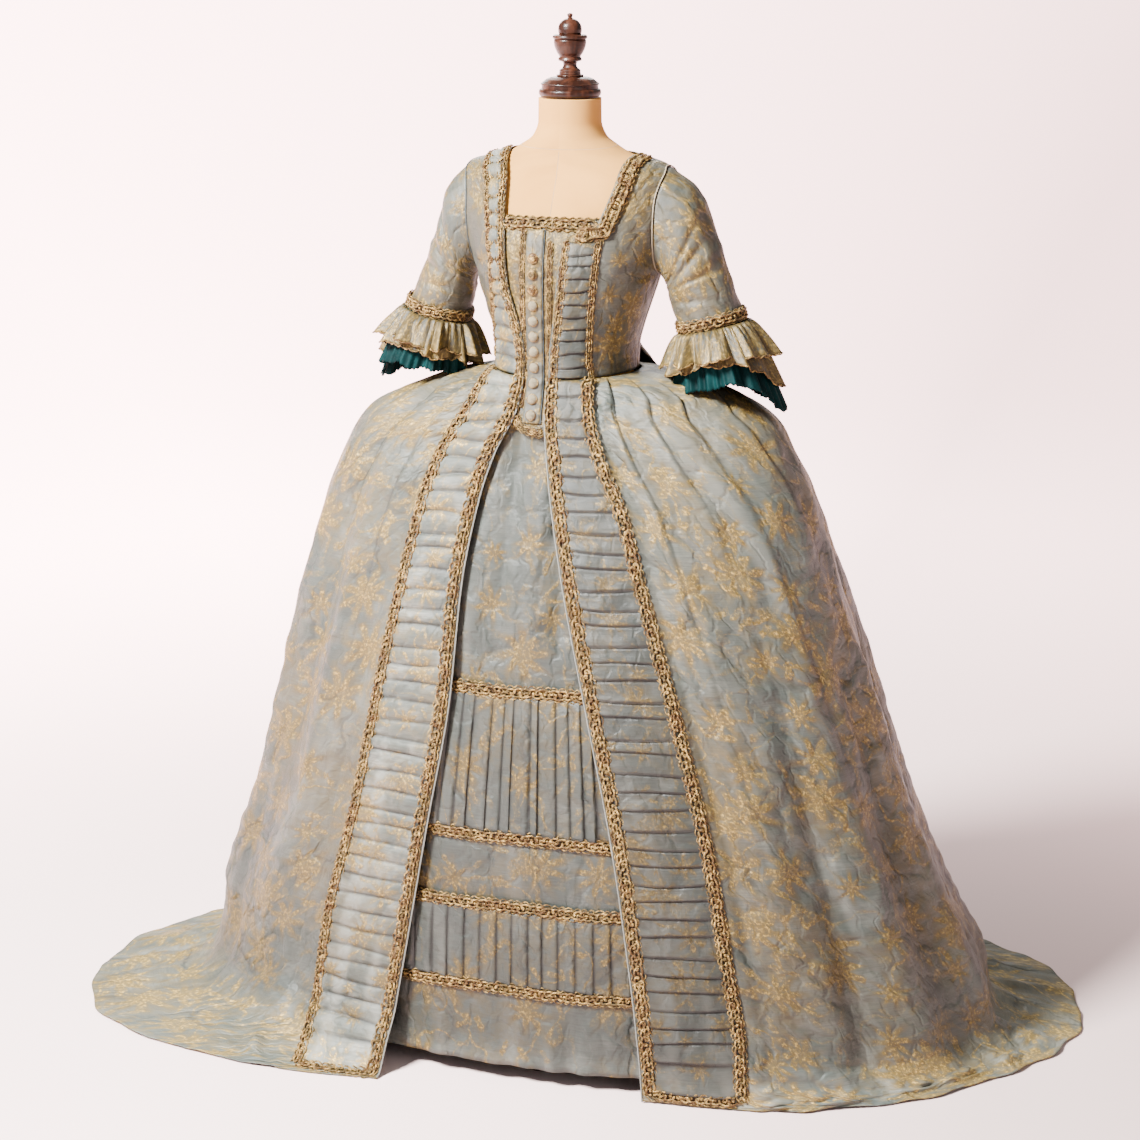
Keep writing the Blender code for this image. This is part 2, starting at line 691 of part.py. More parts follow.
STOMACHER_IN = 0.0043   # below the outside of the gown
STOMACHER_WALL = 0.0014
STOMACHER = table(
    "z right left",
    (1.357, 0.080, 0.085),
    (1.330, 0.078, 0.076),
    (1.290, 0.074, 0.056),
    (1.250, 0.072, 0.050),
    (1.150, 0.048, 0.036),
    (1.100, 0.047, 0.030),
    (1.070, 0.044, 0.026),
    (1.048, 0.030, 0.018),
    (1.030, 0.007, 0.007),
)


def stomacher_grid(rise=0.0):
    z = np.array([STOMACHER_TOP, 1.33, 1.29, 1.25, 1.20, 1.16, 1.115, 1.09, 1.065, 1.047,
                  STOMACHER_POINT])
    right = angle_of_x(front_shell, z, -look_up(STOMACHER, "right", z))
    left = angle_of_x(front_shell, z, look_up(STOMACHER, "left", z))
    shares = np.linspace(0, 1, 7)
    angle = right[:, None] + (left - right)[:, None] * shares
    return lifted(front_shell, angle, z[:, None], rise - STOMACHER_IN)


PLACKET_RIGHT = -0.029
PLACKET_LEFT = -0.002
PLACKET_RISE = 0.0012
PLACKET_WALL = 0.0020
PLACKET_BRAID_WALL = 0.0022
PLACKET_TOP = STOMACHER_TOP - 0.0195    # under the braid along the top
BUTTON_X = -0.0165
BUTTON_RADIUS = 0.0078
BUTTON_HEIGHT = 0.0060
BUTTON_PITCH = 0.0236
FIRST_BUTTON = 1.296


def placket_rows():
    """One row between each two buttons, so that each button has a flat seat."""
    between = FIRST_BUTTON + BUTTON_PITCH * (0.5 - np.arange(BUTTONS + 1))
    return np.concatenate([[PLACKET_TOP], between])


def placket_grid(x_right, x_left, rise):
    z = placket_rows()
    right = angle_of_x(front_shell, z, np.zeros_like(z) + x_right)
    left = angle_of_x(front_shell, z, np.zeros_like(z) + x_left)
    angle = np.stack([right, (right + left) / 2, left], axis=1)
    return lifted(front_shell, angle, z[:, None], rise - STOMACHER_IN)


def make_stomacher():
    wall("stomacher", stomacher_grid(), STOMACHER_WALL, "brocade")
    placket = placket_grid(PLACKET_RIGHT, PLACKET_LEFT, PLACKET_RISE + PLACKET_WALL)
    wall("placket", placket, PLACKET_WALL, "brocade")
    z = placket_rows()
    gown = look_up(FRONT, "right_inner", z) - border_margin(z) - 0.0015
    strip = placket_grid(-np.minimum(0.041, gown), PLACKET_RIGHT - 0.001,
                         PLACKET_RISE + PLACKET_BRAID_WALL)
    wall("placket_braid", strip[:-1], PLACKET_BRAID_WALL, "braid")
    make_stomacher_braids()
    make_buttons(placket)


def make_stomacher_braids():
    z = np.array([STOMACHER_TOP, STOMACHER_TOP - 0.018])
    right = angle_of_x(front_shell, z, np.array([-0.072, -0.070]))
    left = angle_of_x(front_shell, z, np.array([0.081, 0.074]))
    angle = right[:, None] + (left - right)[:, None] * np.linspace(0, 1, 10)
    grid = lifted(front_shell, angle, z[:, None], BRAID_OVER + BRAID - STOMACHER_IN)
    wall("stomacher_braid_top", grid, BRAID, "braid")
    outline = table(
        "x z",
        (-0.041, 1.0600),
        (-0.036, 1.0490),
        (-0.029, 1.0412),
        (-0.015, 1.0365),
        (-0.002, 1.0340),
        (0.004, 1.0370),
    )
    rows = np.array([0.0058, -0.0058])
    x = outline["x"][None, :] + 0 * rows[:, None]
    z = outline["z"][None, :] + rows[:, None]
    grid = lifted(front_shell, np.arctan2(x, 0.145), z, BRAID_OVER + BRAID - STOMACHER_IN)
    wall("stomacher_braid_point", grid, BRAID, "braid")


def make_buttons(placket):
    for number in range(BUTTONS):
        row = number + 1.5
        column = 2 * (BUTTON_X - PLACKET_RIGHT) / (PLACKET_LEFT - PLACKET_RIGHT)
        seat = on_sheet(placket, row, column, 2.5 * GAP)
        ahead = on_sheet(placket, row, column, 1.0) - seat
        shape = bmesh.new()
        bmesh.ops.create_cone(shape, cap_ends=True, segments=8, radius1=BUTTON_RADIUS,
                              radius2=BUTTON_RADIUS * 0.55, depth=BUTTON_HEIGHT)
        mesh = bpy.data.meshes.new(f"button_{number + 1}")
        shape.to_mesh(mesh)
        shape.free()
        button = add_object(mesh.name, mesh, "button")
        ahead /= np.linalg.norm(ahead)
        button.location = seat + ahead * BUTTON_HEIGHT / 2
        button.rotation_euler = (math.acos(ahead[2]), 0, math.atan2(ahead[1], ahead[0]) + math.pi / 2)


# ------------------------------------------------------------------- trimming
def column_after(grid, row, distance, steps, from_far):
    """The column a distance across a border from its near or its far side.

    Columns count from the gown's edge, and the border is the first few of them.
    """
    r = np.clip(row.astype(int), 0, grid.shape[0] - 2)
    down = (row - r)[:, None, None]
    points = grid[r] * (1 - down) + grid[r + 1] * down
    lengths = np.linalg.norm(np.diff(points[:, :steps + 1], axis=1), axis=2)
    run = np.concatenate([np.zeros((len(row), 1)), np.cumsum(lengths, axis=1)], axis=1)
    wanted = run[:, -1] - distance if from_far else np.zeros(len(row)) + distance
    wanted = np.maximum(wanted, EDGE_SHOWS)
    return np.array([np.interp(w, each, np.arange(steps + 1)) for w, each in zip(wanted, run)])


def from_edge(grid, side):
    """A front sheet with its columns counted from the gown's edge."""
    return grid if side > 0 else grid[:, ::-1]


def on_border(grid, side, row, column, out):
    """As on_sheet, with columns counted from the gown's edge."""
    if side < 0:
        column = grid.shape[1] - 1 - np.asarray(column)
    return on_sheet(grid, row, column, out)


def border_braid(name, grid, side, row, width, steps, outer, more=0.0):
    sheet = from_edge(grid, side)
    near = column_after(sheet, row, EDGE_SHOWS, steps, outer)
    far = column_after(sheet, row, EDGE_SHOWS + width, steps, outer)
    column = np.stack([far, near] if outer else [near, far], axis=1)
    points = on_border(grid, side, row[:, None], column, BRAID_OVER + more + BRAID)
    wall(name, outward(points, side), BRAID, "braid")


def robing(name, grid, side, top, foot, pleats, widths, steps, across, rise, more=0.0):
    """The gathered band between the two braids, in puffs with creases between."""
    count = 2 * pleats + 1
    row = np.linspace(top, foot, count)
    sheet = from_edge(grid, side)
    width = np.interp(row, np.arange(len(widths)), widths) + EDGE_SHOWS + 4 * GAP
    first = column_after(sheet, row, width, steps, False)
    last = column_after(sheet, row, width, steps, True)
    column = first[:, None] + (last - first)[:, None] * np.linspace(0, 1, across + 1)
    puff = np.where(np.arange(count) % 2 == 1, rise, 0.0004)
    out = ROBING_OVER + more + ROBING_WALL + puff[:, None] + 0 * column
    points = on_border(grid, side, row[:, None], column, out)
    wall(name, outward(points, side), ROBING_WALL, "brocade")


# ---------------------------------------------------------------------- skirt
SKIRT_FALLS = np.array([0.003, 0.030, 0.065, 0.100, 0.140, 0.190, 0.26, 0.35, 0.46, 0.57,
                        0.68, 0.78, 0.845, 0.89, 0.93, 0.965, 1.0])
SKIRT_BORDER_STEPS = 3
PLEAT_EDGE = 0.014      # share of the side that a pleat's fold takes


def waist_pleats(share, fall):
    """Depth of the flat pleats that fan out of the waist, 0 outside them."""
    fade = 1 - smooth_step(0.10, 0.55, fall)
    fade = fade * smooth_step(0.0, 0.03, fall)
    place = np.clip(share, 0, 1) * WAIST_PLEATS
    ramp = place - np.floor(place)
    return -WAIST_PLEAT_DEPTH * fade * (1 - ramp) * (share > 0) * (share < 1)


def pleat_shares():
    shares = []
    for number in range(WAIST_PLEATS):
        start = number / WAIST_PLEATS
        if number:
            shares.append(start - PLEAT_EDGE)
        shares.append(start + 0.0005)
        shares.append(start + 0.5 / WAIST_PLEATS)
    return np.array(shares[1:] + [1.0])


def skirt_side(side):
    fall = SKIRT_FALLS
    z = height_at(fall)
    near, far = front_angles(skirt, fall, z, side, border_margin(z))
    seam = np.interp(fall, [0.10, 0.14], [BACK_SEAM_AT_WAIST, BACK_SEAM])
    radius = np.linalg.norm(skirt(side * seam, fall)[:, :2], axis=1)
    seam = side * (seam - 0.75 * GAP / radius)
    shares = pleat_shares()
    steps = np.linspace(0, 1, SKIRT_BORDER_STEPS + 1)
    border = near[:, None] + (far - near)[:, None] * steps
    rest = far[:, None] + (seam - far)[:, None] * shares
    angle = np.concatenate([border, rest], axis=1)
    share = np.concatenate([0 * steps, shares])
    depth = waist_pleats(share[None, :], fall[:, None])
    return outward(lifted(skirt, angle, fall[:, None], depth), side)


def make_skirt():
    sides = {}
    for side, name in ((1, "left"), (-1, "right")):
        sides[side] = skirt_side(side)
        wall(f"skirt_{name}", sides[side], SILK, "brocade")
    return sides


SACK_FALLS = SKIRT_FALLS[2:]


def sack_levels(share):
    """The loose back at each level: share runs from 1 at the left edge to -1."""
    levels = []
    for z, half, middle, edge in zip(*SACK.values()):
        x = share * half
        row = [look_up(BODY, name, z) for name in ("half", "back", "square")]
        bodice = row[1] * (1 - np.abs(x / row[0]) ** row[2]) ** (1 / row[2])
        y = bodice + edge + (middle - edge) * (1 - share**2)
        levels.append(np.stack([x, y, np.full_like(y, z)], axis=-1))
    for fall in SACK_FALLS:
        radius = np.linalg.norm(skirt(BACK_SEAM, fall)[:2])
        first = BACK_SEAM + 0.75 * GAP / radius
        angle = math.pi - share * (math.pi - first)
        lift = 0.019 * (1 - smooth_step(0.06, 0.20, fall))
        level = lifted(skirt, angle, fall, np.full_like(angle, lift))
        swing = look_up(SWING, "out", np.clip(level[:, 2], 0, SWING["z"][0]))
        level[:, 1] += swing * (1 - share**2)
        levels.append(level)
    return np.array(levels)


def sack_back():
    share = np.concatenate([BOX_PLEAT["share"][::-1], -BOX_PLEAT["share"][1:]])
    levels = sack_levels(share)
    rise = np.interp(np.abs(share), BOX_PLEAT["share"], BOX_PLEAT["rise"])
    z = levels[:, len(share) // 2, 2]
    opening = smooth_step(1.15, 0.60, z)
    flat = smooth_step(0.05, 0.25, z)
    soft = 0.012 * (0.5 - 0.5 * np.cos(2 * math.pi * 2 * np.abs(share))) * (np.abs(share) < 1)
    out = (1 - opening)[:, None] * rise + (opening * flat)[:, None] * soft
    across = np.gradient(levels, axis=1)
    down = np.gradient(levels, axis=0)
    normal = np.cross(down, across)
    normal /= np.linalg.norm(normal, axis=-1, keepdims=True)
    return levels + normal * out[..., None]


def make_sack():
    wall("sack_back", sack_back(), SILK, "brocade")


# ------------------------------------------------------------------ petticoat
PETTICOAT_ROWS = np.array([1.100, 1.086, 1.068, 1.03, 0.97, 0.86, 0.64, 0.409, 0.20, PETTICOAT_HEM])
TRIM_HALF = math.radians(52)
BACK_HALF = math.radians(52)
TRIM_STEPS = 12         # columns of the petticoat's front
# Four widths of cloth, by the angles of their seams and their columns
PETTICOAT_WIDTHS = (
    ("petticoat_front", -TRIM_HALF, TRIM_HALF, TRIM_STEPS),
    ("petticoat_left", TRIM_HALF, math.pi - BACK_HALF, 5),
    ("petticoat_back", math.pi - BACK_HALF, math.pi + BACK_HALF, 6),
    ("petticoat_right", -math.pi + BACK_HALF, -TRIM_HALF, 5),
)


def petticoat_width(start, end, columns):
    """One width of the petticoat, a little short of its seams."""
    seams = np.array([start, end])
    radius = np.linalg.norm(petticoat(seams[None, :], PETTICOAT_ROWS[:, None])[..., :2], axis=-1)
    short = 1.1 * GAP / radius * np.array([1, -1])
    first, last = (seams + short).T
    angle = first[:, None] + (last - first)[:, None] * np.linspace(0, 1, columns + 1)
    return petticoat(angle, PETTICOAT_ROWS[:, None])


def petticoat_piece(name, z, x_right, x_left, columns, out, thickness, finish):
    """A piece across the front of the petticoat: out is a grid of rises."""
    ends = angle_of_x(petticoat, z[:1], np.array([-x_right]))[0]
    other = angle_of_x(petticoat, z[:1], np.array([x_left]))[0]
    angle = np.linspace(ends, other, columns)
    row = np.interp(-z, -PETTICOAT_ROWS, np.arange(len(PETTICOAT_ROWS)))
    column = (angle + TRIM_HALF) / (2 * TRIM_HALF) * TRIM_STEPS
    front = petticoat_width(-TRIM_HALF, TRIM_HALF, TRIM_STEPS)
    grid = on_sheet(front, row[:, None], column[None, :], out + thickness)
    return wall(name, grid, thickness, finish)


def make_petticoat():
    for name, start, end, columns in PETTICOAT_WIDTHS:
        wall(name, petticoat_width(start, end, columns), SILK, "brocade")
    for name, top, foot, right, left, pleats in PETTICOAT_FLOUNCES:
        z = np.array([top, foot])
        columns = 3 * pleats + 1
        step = np.arange(columns) % 3
        fold = np.choose(step, [0.0, 0.0045, 0.0038])
        out = TRIM_OVER + fold[None, :] * np.array([0.75, 1.0])[:, None]
        petticoat_piece(name, z, right, left, columns, out, 0.0014, "brocade")
    reaches = ((0.190, 0.160), (0.225, 0.200), (0.245, 0.215), (0.265, 0.240))
    for number, (z, (right, left)) in enumerate(zip(PETTICOAT_BRAIDS, reaches)):
        rows = np.array([z + 0.0115, z - 0.0115])
        out = np.full((2, 15), TRIM_OVER)
        petticoat_piece(f"petticoat_braid_{number + 1}", rows, right, left, 15, out, BRAID, "braid")


# -------------------------------------------------------------------- sleeves
CUFF_BRAID_START = 0.90
CUFF_BRAID_SCALE = 1.082    # from the sleeve out to the face of its braid


def sleeve_turns():
    """Places round the arm: one at each row of the bodice at the armhole."""
    share = (np.array(ARMHOLE_ROWS) - ARMHOLE_MIDDLE) / ARMHOLE_HALF_HEIGHT
    before = np.arccos(share)
    return np.concatenate([[0], before, [math.pi], 2 * math.pi - before[::-1]])


def sleeve_points(along, name):
    """The outer and the inner point of the sleeve's rings."""
    points = []
    for end in ("outer", "inner"):
        x = look_up(SLEEVE, f"{name}_{end}", along, "along")
        points.append(np.stack([x, 0 * x, look_up(SLEEVE, f"{end}_z", along, "along")], axis=-1))
    return points


def sleeve_ring(turn, along, name):
    """An oval across the arm: turn 0 is outside, and a quarter turn is its front."""
    outer, inner = sleeve_points(along, name)
    depth = look_up(SLEEVE, "half_depth", along, "along")
    point = (outer + inner) / 2 + (outer - inner) / 2 * np.cos(turn)[..., None]
    point[..., 1] = -depth * np.sin(turn)
    return point


def armhole_ring(turn):
    """The seam line on the bodice, just inside the armhole."""
    inside = 0.0011
    y = -(ARMHOLE_HALF_DEPTH - inside) * np.sin(turn)
    z = ARMHOLE_MIDDLE + (ARMHOLE_HALF_HEIGHT - inside) * np.cos(turn)
    points = []
    for each_y, each_z in zip(y, z):
        points.append(body(body_angle_of_y(each_z, each_y if each_y else 1e-9), each_z))
    return np.array(points)


def sleeve_grid(along, turn, name):
    along, turn = np.broadcast_arrays(along[:, None], turn[None, :])
    seam = armhole_ring(turn[0]) - sleeve_ring(turn[0], along[0], name)
    fade = (1 - smooth_step(0, 0.22, along))[..., None]
    return sleeve_ring(turn, along, name) + seam[None] * fade


def on_arm(grid, side):
    """A sheet round the left arm, or its mirror image round the right one."""
    return grid[:, ::-1] if side > 0 else grid * np.array([-1, 1, 1])


def cuff_sheet(turn, drop, radius, name):
    """Points round the cuff, by distance below it and radius."""
    outer, inner = (point[0] for point in sleeve_points(np.array([1.0]), name))
    across = (outer - inner) / np.linalg.norm(outer - inner)
    down = np.array([across[2], 0, -across[0]])
    front = np.array([0, -1, 0])
    ring = np.cos(turn)[..., None] * across + np.sin(turn)[..., None] * front
    return (outer + inner) / 2 + down * drop[..., None] + ring * radius[..., None]


def ruffle_grid(kind, name):
    row = RUFFLE_NAMES.index(f"{kind}_{name}")
    inner_drop, outer_drop, top, foot, depth, start = (values[row] for values in RUFFLES.values())
    turn = np.linspace(0, 2 * math.pi, 4 * RUFFLE_WAVES, endpoint=False)
    down = np.array([0.0, 0.35, 1.0])[:, None]
    drop = inner_drop + (outer_drop - inner_drop) * (0.5 + 0.5 * np.cos(turn))
    wave = depth * np.cos(RUFFLE_WAVES * turn + start)
    radius = top + (foot - top) * down**0.8 + wave * down**0.7
    return cuff_sheet(turn + 0 * down, 0.0008 + drop * down, radius, name)


def make_sleeves():
    turn = sleeve_turns()
    along = np.array([0, 0.07, 0.16, 0.32, 0.5, 0.67, 0.83, 1.0])
    ring = np.linspace(0, 2 * math.pi, 18, endpoint=False) + np.zeros((2, 1))
    for side, name in ((1, "left"), (-1, "right")):
        sleeve = sleeve_grid(along, turn, name)
        wall(f"sleeve_{name}", on_arm(sleeve, side), SILK, "brocade", around=True)
        sleeve_end = sleeve_ring(ring, np.array([[CUFF_BRAID_START], [0.998]]) + 0 * ring, name)
        middle = sleeve_end.mean(axis=1, keepdims=True)
        braid = middle + (sleeve_end - middle) * CUFF_BRAID_SCALE
        wall(f"cuff_braid_{name}", on_arm(braid, side), BRAID, "braid", around=True)
        for kind, finish in (("flounce", "brocade"), ("engageante", "teal")):
            ruffle = on_arm(ruffle_grid(kind, name), side)
            wall(f"{kind}_{name}", ruffle, RUFFLE, finish, around=True)


# ----------------------------------------------------------------------- robe
def make_borders(fronts, sides):
    for side, name in ((1, "left"), (-1, "right")):
        bodice, gown = fronts[side], sides[side]
        last = bodice.shape[0] - 1
        step = len(SHOULDER_SHARES) + list(BODICE_ROWS).index(STEP_ROWS[1])
        rows = np.concatenate([[0.05], np.arange(1, last), [last - 0.02]])
        widths = np.full(last + 1, BODICE_BRAID_WIDTH)
        if side > 0:
            inner = np.concatenate([[step + 0.1], np.arange(step + 1, last), [last - 0.02]])
            outer_width = np.where(rows < step - 0.5, WIDE_BRAID, BODICE_BRAID_WIDTH)
            top = step + 0.2
        else:
            inner = rows
            outer_width = BODICE_BRAID_WIDTH
            top = 0.3
        border_braid(f"bodice_braid_outer_{name}", bodice, side, rows, outer_width,
                     BORDER_STEPS, True, 0 if side > 0 else ROUND_SIDE_OVER)
        border_braid(f"bodice_braid_inner_{name}", bodice, side, inner, BODICE_BRAID_WIDTH,
                     BORDER_STEPS, False)
        robing(f"robing_bodice_{name}", bodice, side, top, last - 0.05, BODICE_PLEATS[side],
               widths, BORDER_STEPS, BORDER_STEPS, 0.004)
        last = gown.shape[0] - 1
        rows = np.concatenate([[1.0], np.arange(2, last), [last - 0.35]])
        z = height_at(SKIRT_FALLS)
        widths = BODICE_BRAID_WIDTH + 2 * (border_margin(z) - BODICE_BRAID_WIDTH / 2)
        width = np.interp(rows, np.arange(last + 1), widths)
        border_braid(f"skirt_braid_outer_{name}", gown, side, rows, width,
                     SKIRT_BORDER_STEPS, True, SKIRT_OVER)
        border_braid(f"skirt_braid_inner_{name}", gown, side, rows, width,
                     SKIRT_BORDER_STEPS, False, SKIRT_OVER)
        robing(f"robing_skirt_{name}", gown, side, 1.25, last - 0.75, SKIRT_PLEATS,
               widths, SKIRT_BORDER_STEPS, 2, 0.006, SKIRT_OVER)


def main():
    clear_scene()
    new_collection(GARMENT)
    make_form()
    make_cap()
    make_finial()
    make_stand()
    fronts = make_bodice()
    make_stomacher()
    sides = make_skirt()
    make_borders(fronts, sides)
    make_sack()
    make_petticoat()
    make_sleeves()


main()
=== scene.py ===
# %% [markdown]
# # A robe a la francaise on its dress form
# The solids of this gown are already modelled: form, gown, petticoat, trimming.
# This lesson gives each of them its real surface. Cloth is made again from the
# same outlines with its folds, trimming is worked in real cords, and every
# finish is built from shader nodes. The solids come first, as a fixed frame.

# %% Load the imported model
import math

import bpy
import numpy as np
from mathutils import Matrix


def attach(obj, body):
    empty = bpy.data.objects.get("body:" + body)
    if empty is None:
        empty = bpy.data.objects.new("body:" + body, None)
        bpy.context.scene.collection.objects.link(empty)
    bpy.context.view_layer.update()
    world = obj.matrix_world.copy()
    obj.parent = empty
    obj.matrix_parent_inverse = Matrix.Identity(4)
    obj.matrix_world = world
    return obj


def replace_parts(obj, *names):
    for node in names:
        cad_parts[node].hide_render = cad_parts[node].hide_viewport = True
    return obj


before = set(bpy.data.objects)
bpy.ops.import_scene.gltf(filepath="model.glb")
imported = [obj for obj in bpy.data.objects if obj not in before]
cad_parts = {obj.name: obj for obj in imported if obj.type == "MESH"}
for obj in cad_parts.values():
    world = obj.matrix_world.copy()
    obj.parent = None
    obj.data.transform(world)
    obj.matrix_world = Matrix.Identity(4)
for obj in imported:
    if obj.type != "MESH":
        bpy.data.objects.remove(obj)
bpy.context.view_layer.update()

# %% [markdown]
# ## Camera
# A gown reads best from a little above its waist and from one side. A long lens
# from four metres keeps the proportions of the skirt. The camera stands on a
# circle round the form's axis and is tipped down.

# %% Place the camera
AZIMUTH = math.radians(18)
DISTANCE = 4.125
CAMERA_HEIGHT = 1.852
PITCH = math.radians(14.5)
LENS = 84.98


def placed(name, data):
    """A new object in the scene, for a mesh, a lamp or a camera."""
    item = bpy.data.objects.new(name, data)
    bpy.context.scene.collection.objects.link(item)
    return item


camera = placed("studio_camera", bpy.data.cameras.new("studio_camera"))
camera.data.lens = LENS
camera.data.sensor_width = 36
camera.location = (DISTANCE * math.sin(AZIMUTH), -DISTANCE * math.cos(AZIMUTH), CAMERA_HEIGHT)
camera.rotation_euler = (math.pi / 2 - PITCH, 0, AZIMUTH)
bpy.context.scene.camera = camera
print("camera at", tuple(round(v, 3) for v in camera.location))

# %% [markdown]
# ## Light and floor
# One large soft source in front on the left models the folds, a weak one on the
# right fills them, one behind draws the edge, and a pale surround keeps every
# shadow open. The floor runs back into the surround, so no horizon shows.

# %% Light the studio
LIT_POINT = (0.0, 0.0, 0.9)


def soft_light(name, place, size, power, colour):
    """A round lamp, size metres across, that looks at the middle of the gown."""
    data = bpy.data.lights.new(name, "AREA")
    data.shape = "DISK"
    data.size = size
    data.energy = power
    data.color = colour
    lamp = placed(name, data)
    lamp.location = place
    aim = np.array(LIT_POINT) - np.array(place)
    lamp.rotation_euler = (math.acos(-aim[2] / np.linalg.norm(aim)), 0,
                           math.atan2(aim[1], aim[0]) - math.pi / 2)


soft_light("key_light", (-1.8, -2.9, 3.9), 1.1, 1950, (1.0, 0.985, 0.965))
soft_light("fill_light", (3.6, -2.8, 1.8), 2.6, 25, (0.97, 0.99, 1.0))
soft_light("rim_light", (-1.6, 3.6, 3.0), 2.4, 160, (1.0, 0.98, 0.97))

world = bpy.data.worlds.new("studio")
world.use_nodes = True
surround = world.node_tree.nodes["Background"]
surround.inputs["Color"].default_value = (1.0, 0.97, 0.95, 1)
surround.inputs["Strength"].default_value = 0.55
bpy.context.scene.world = world
print("three soft lights and a pale surround")

# %% Lay the floor
FLOOR_HALF = 80.0

floor_mesh = bpy.data.meshes.new("studio_floor")
corners = [(x * FLOOR_HALF, y * FLOOR_HALF, 0) for x, y in ((-1, -1), (1, -1), (1, 1), (-1, 1))]
floor_mesh.from_pydata(corners, [], [(0, 1, 2, 3)])
placed("studio_floor", floor_mesh)
print("floor", 2 * FLOOR_HALF, "m square")

# %% [markdown]
# ## The outlines
# Every piece of cloth lies on one of three surfaces: the stayed bodice, the
# skirt over its side hoops with its train, and the petticoat. Each is described
# by a short table of sections, as a pattern maker notes half widths and depths
# at a few levels. A smooth curve through the rows gives any level between.

# %% Sizes of the gown, in metres
SIDES = ((1, "left"), (-1, "right"))    # the wearer's, and the sign of x there
GAP = 0.0004
SIDE_SEAM_HALF = 0.0006
SIDE_REACH = 0.13                       # from the middle to the side seam
BRAID_WIDTH = 0.016
BODICE_BRAID_WIDTH = 0.01
WAIST = 1.115
NECK_TOP_RIGHT = 1.449
NECK_TOP_LEFT = 1.443
STOMACHER_TOP = 1.357
STOMACHER_POINT = 1.03
PETTICOAT_HEM = 0.03
FORM_BOTTOM = 0.86
CAP_BOTTOM = 1.525
FINIAL_TOP = 1.65
ARMHOLE_MIDDLE = 1.346
ARMHOLE_HALF_HEIGHT = 0.0805
ARMHOLE_HALF_DEPTH = 0.0575
TRAIN_MIDDLE = 0.2
BACK_SEAM = math.radians(138)
BACK_SEAM_AT_WAIST = math.radians(150)


def table(text):
    """Columns of numbers by name, from lines of text: the first line names them."""
    names, *rows = text.strip().splitlines()
    return dict(zip(names.split(), np.array([row.split() for row in rows], float).T))


print("waist at", WAIST, "m, hem on the floor")

# %% Tables of sections
# Outside of the bodice: half width, depth before and behind the axis, and how
# square the oval is. The rows above the gown's edge are the neck of the form.
BODY = table("""
z half front back square
1.53 0.05 0.05 0.05 2
1.49 0.0505 0.0505 0.052 2
1.47 0.058 0.0545 0.056 2
1.455 0.079 0.058 0.06 2
1.445 0.1 0.061 0.064 2
1.437 0.128 0.065 0.072 2
1.428 0.153 0.07 0.08 2.1
1.415 0.167 0.077 0.088 2.2
1.395 0.171 0.089 0.098 2.2
1.36 0.168 0.108 0.107 2.2
1.32 0.159 0.124 0.109 2.2
1.28 0.148 0.131 0.107 2.15
1.25 0.14 0.132 0.103 2.1
1.22 0.13 0.131 0.099 2.1
1.18 0.117 0.129 0.094 2.1
1.15 0.11 0.1275 0.091 2.1
1.115 0.1085 0.1265 0.09 2.1
1.06 0.115 0.126 0.093 2.1
0.96 0.138 0.12 0.11 2.2
0.85 0.145 0.115 0.12 2.2""")

# Outside of the gown's skirt where it falls: reach to the wearer's right and
# left, before and behind the axis, and the line on which it is widest.
SKIRT = table("""
z right left front back widest_y square
1.115 0.1085 0.1085 0.1265 0.09 0 2.1
1.108 0.15 0.185 0.129 0.105 0 2
1.095 0.205 0.24 0.132 0.12 0 2
1.072 0.262 0.289 0.1385 0.14 0.005 2.1
1.04 0.324 0.33 0.147 0.162 0.01 2.2
0.995 0.36 0.353 0.158 0.188 0.015 2.3
0.93 0.394 0.381 0.174 0.222 0.025 2.35
0.8 0.437 0.42 0.196 0.275 0.04 2.35
0.6 0.493 0.478 0.218 0.345 0.065 2.3
0.4 0.555 0.537 0.233 0.41 0.095 2.25
0.24 0.625 0.598 0.242 0.462 0.125 2.2
0.11 0.665 0.655 0.248 0.51 0.16 2.15""")

# The hem on the floor: its distance from TRAIN_MIDDLE in each direction, on the
# wearer's right and left, and how much of that cloth lies flat.
HEM = table("""
degrees right left right_lies left_lies
0 0.48 0.45 0.01 0
25 0.53 0.472 0.025 0
35 0.6 0.511 0.06 0.002
45 0.69 0.565 0.11 0.012
55 0.785 0.615 0.16 0.02
65 0.865 0.668 0.195 0.033
75 0.885 0.723 0.19 0.058
85 0.86 0.775 0.16 0.1
95 0.79 0.805 0.125 0.145
105 0.73 0.797 0.12 0.185
115 0.68 0.76 0.14 0.21
125 0.64 0.69 0.165 0.21
140 0.6 0.63 0.195 0.21
160 0.56 0.57 0.2 0.205
180 0.545 0.545 0.2 0.2""")

# How the cloth comes down on to the floor: the share still to lie, and its height.
FLOOR = table("""
share z
1 0.045
0.62 0.013
0.3 0.0045
0 0.0026""")

# Front edges of the gown, as distances from the middle: the lines of the inner
# and the outer braid. The gown lies a little more open on the wearer's right.
FRONT = table("""
z right_inner right_outer left_inner left_outer
1.443 0.09 0.122 0.109 0.124
1.4 0.083 0.106 0.101 0.114
1.36 0.079 0.099 0.089 0.101
1.338 0.076 0.095 0.081 0.091
1.33 0.075 0.094 0.037 0.083
1.26 0.068 0.088 0.029 0.073
1.19 0.047 0.0895 0.021 0.066
1.15 0.04 0.095 0.016 0.063
1.115 0.042 0.101 0.015 0.066
1.07 0.05 0.118 0.016 0.072
1 0.084 0.157 0.027 0.096
0.93 0.104 0.182 0.04 0.132
0.8 0.126 0.213 0.067 0.175
0.62 0.141 0.253 0.109 0.229
0.42 0.176 0.295 0.153 0.281
0.23 0.209 0.345 0.184 0.317
0.1 0.233 0.366 0.201 0.34
0 0.248 0.374 0.208 0.347""")

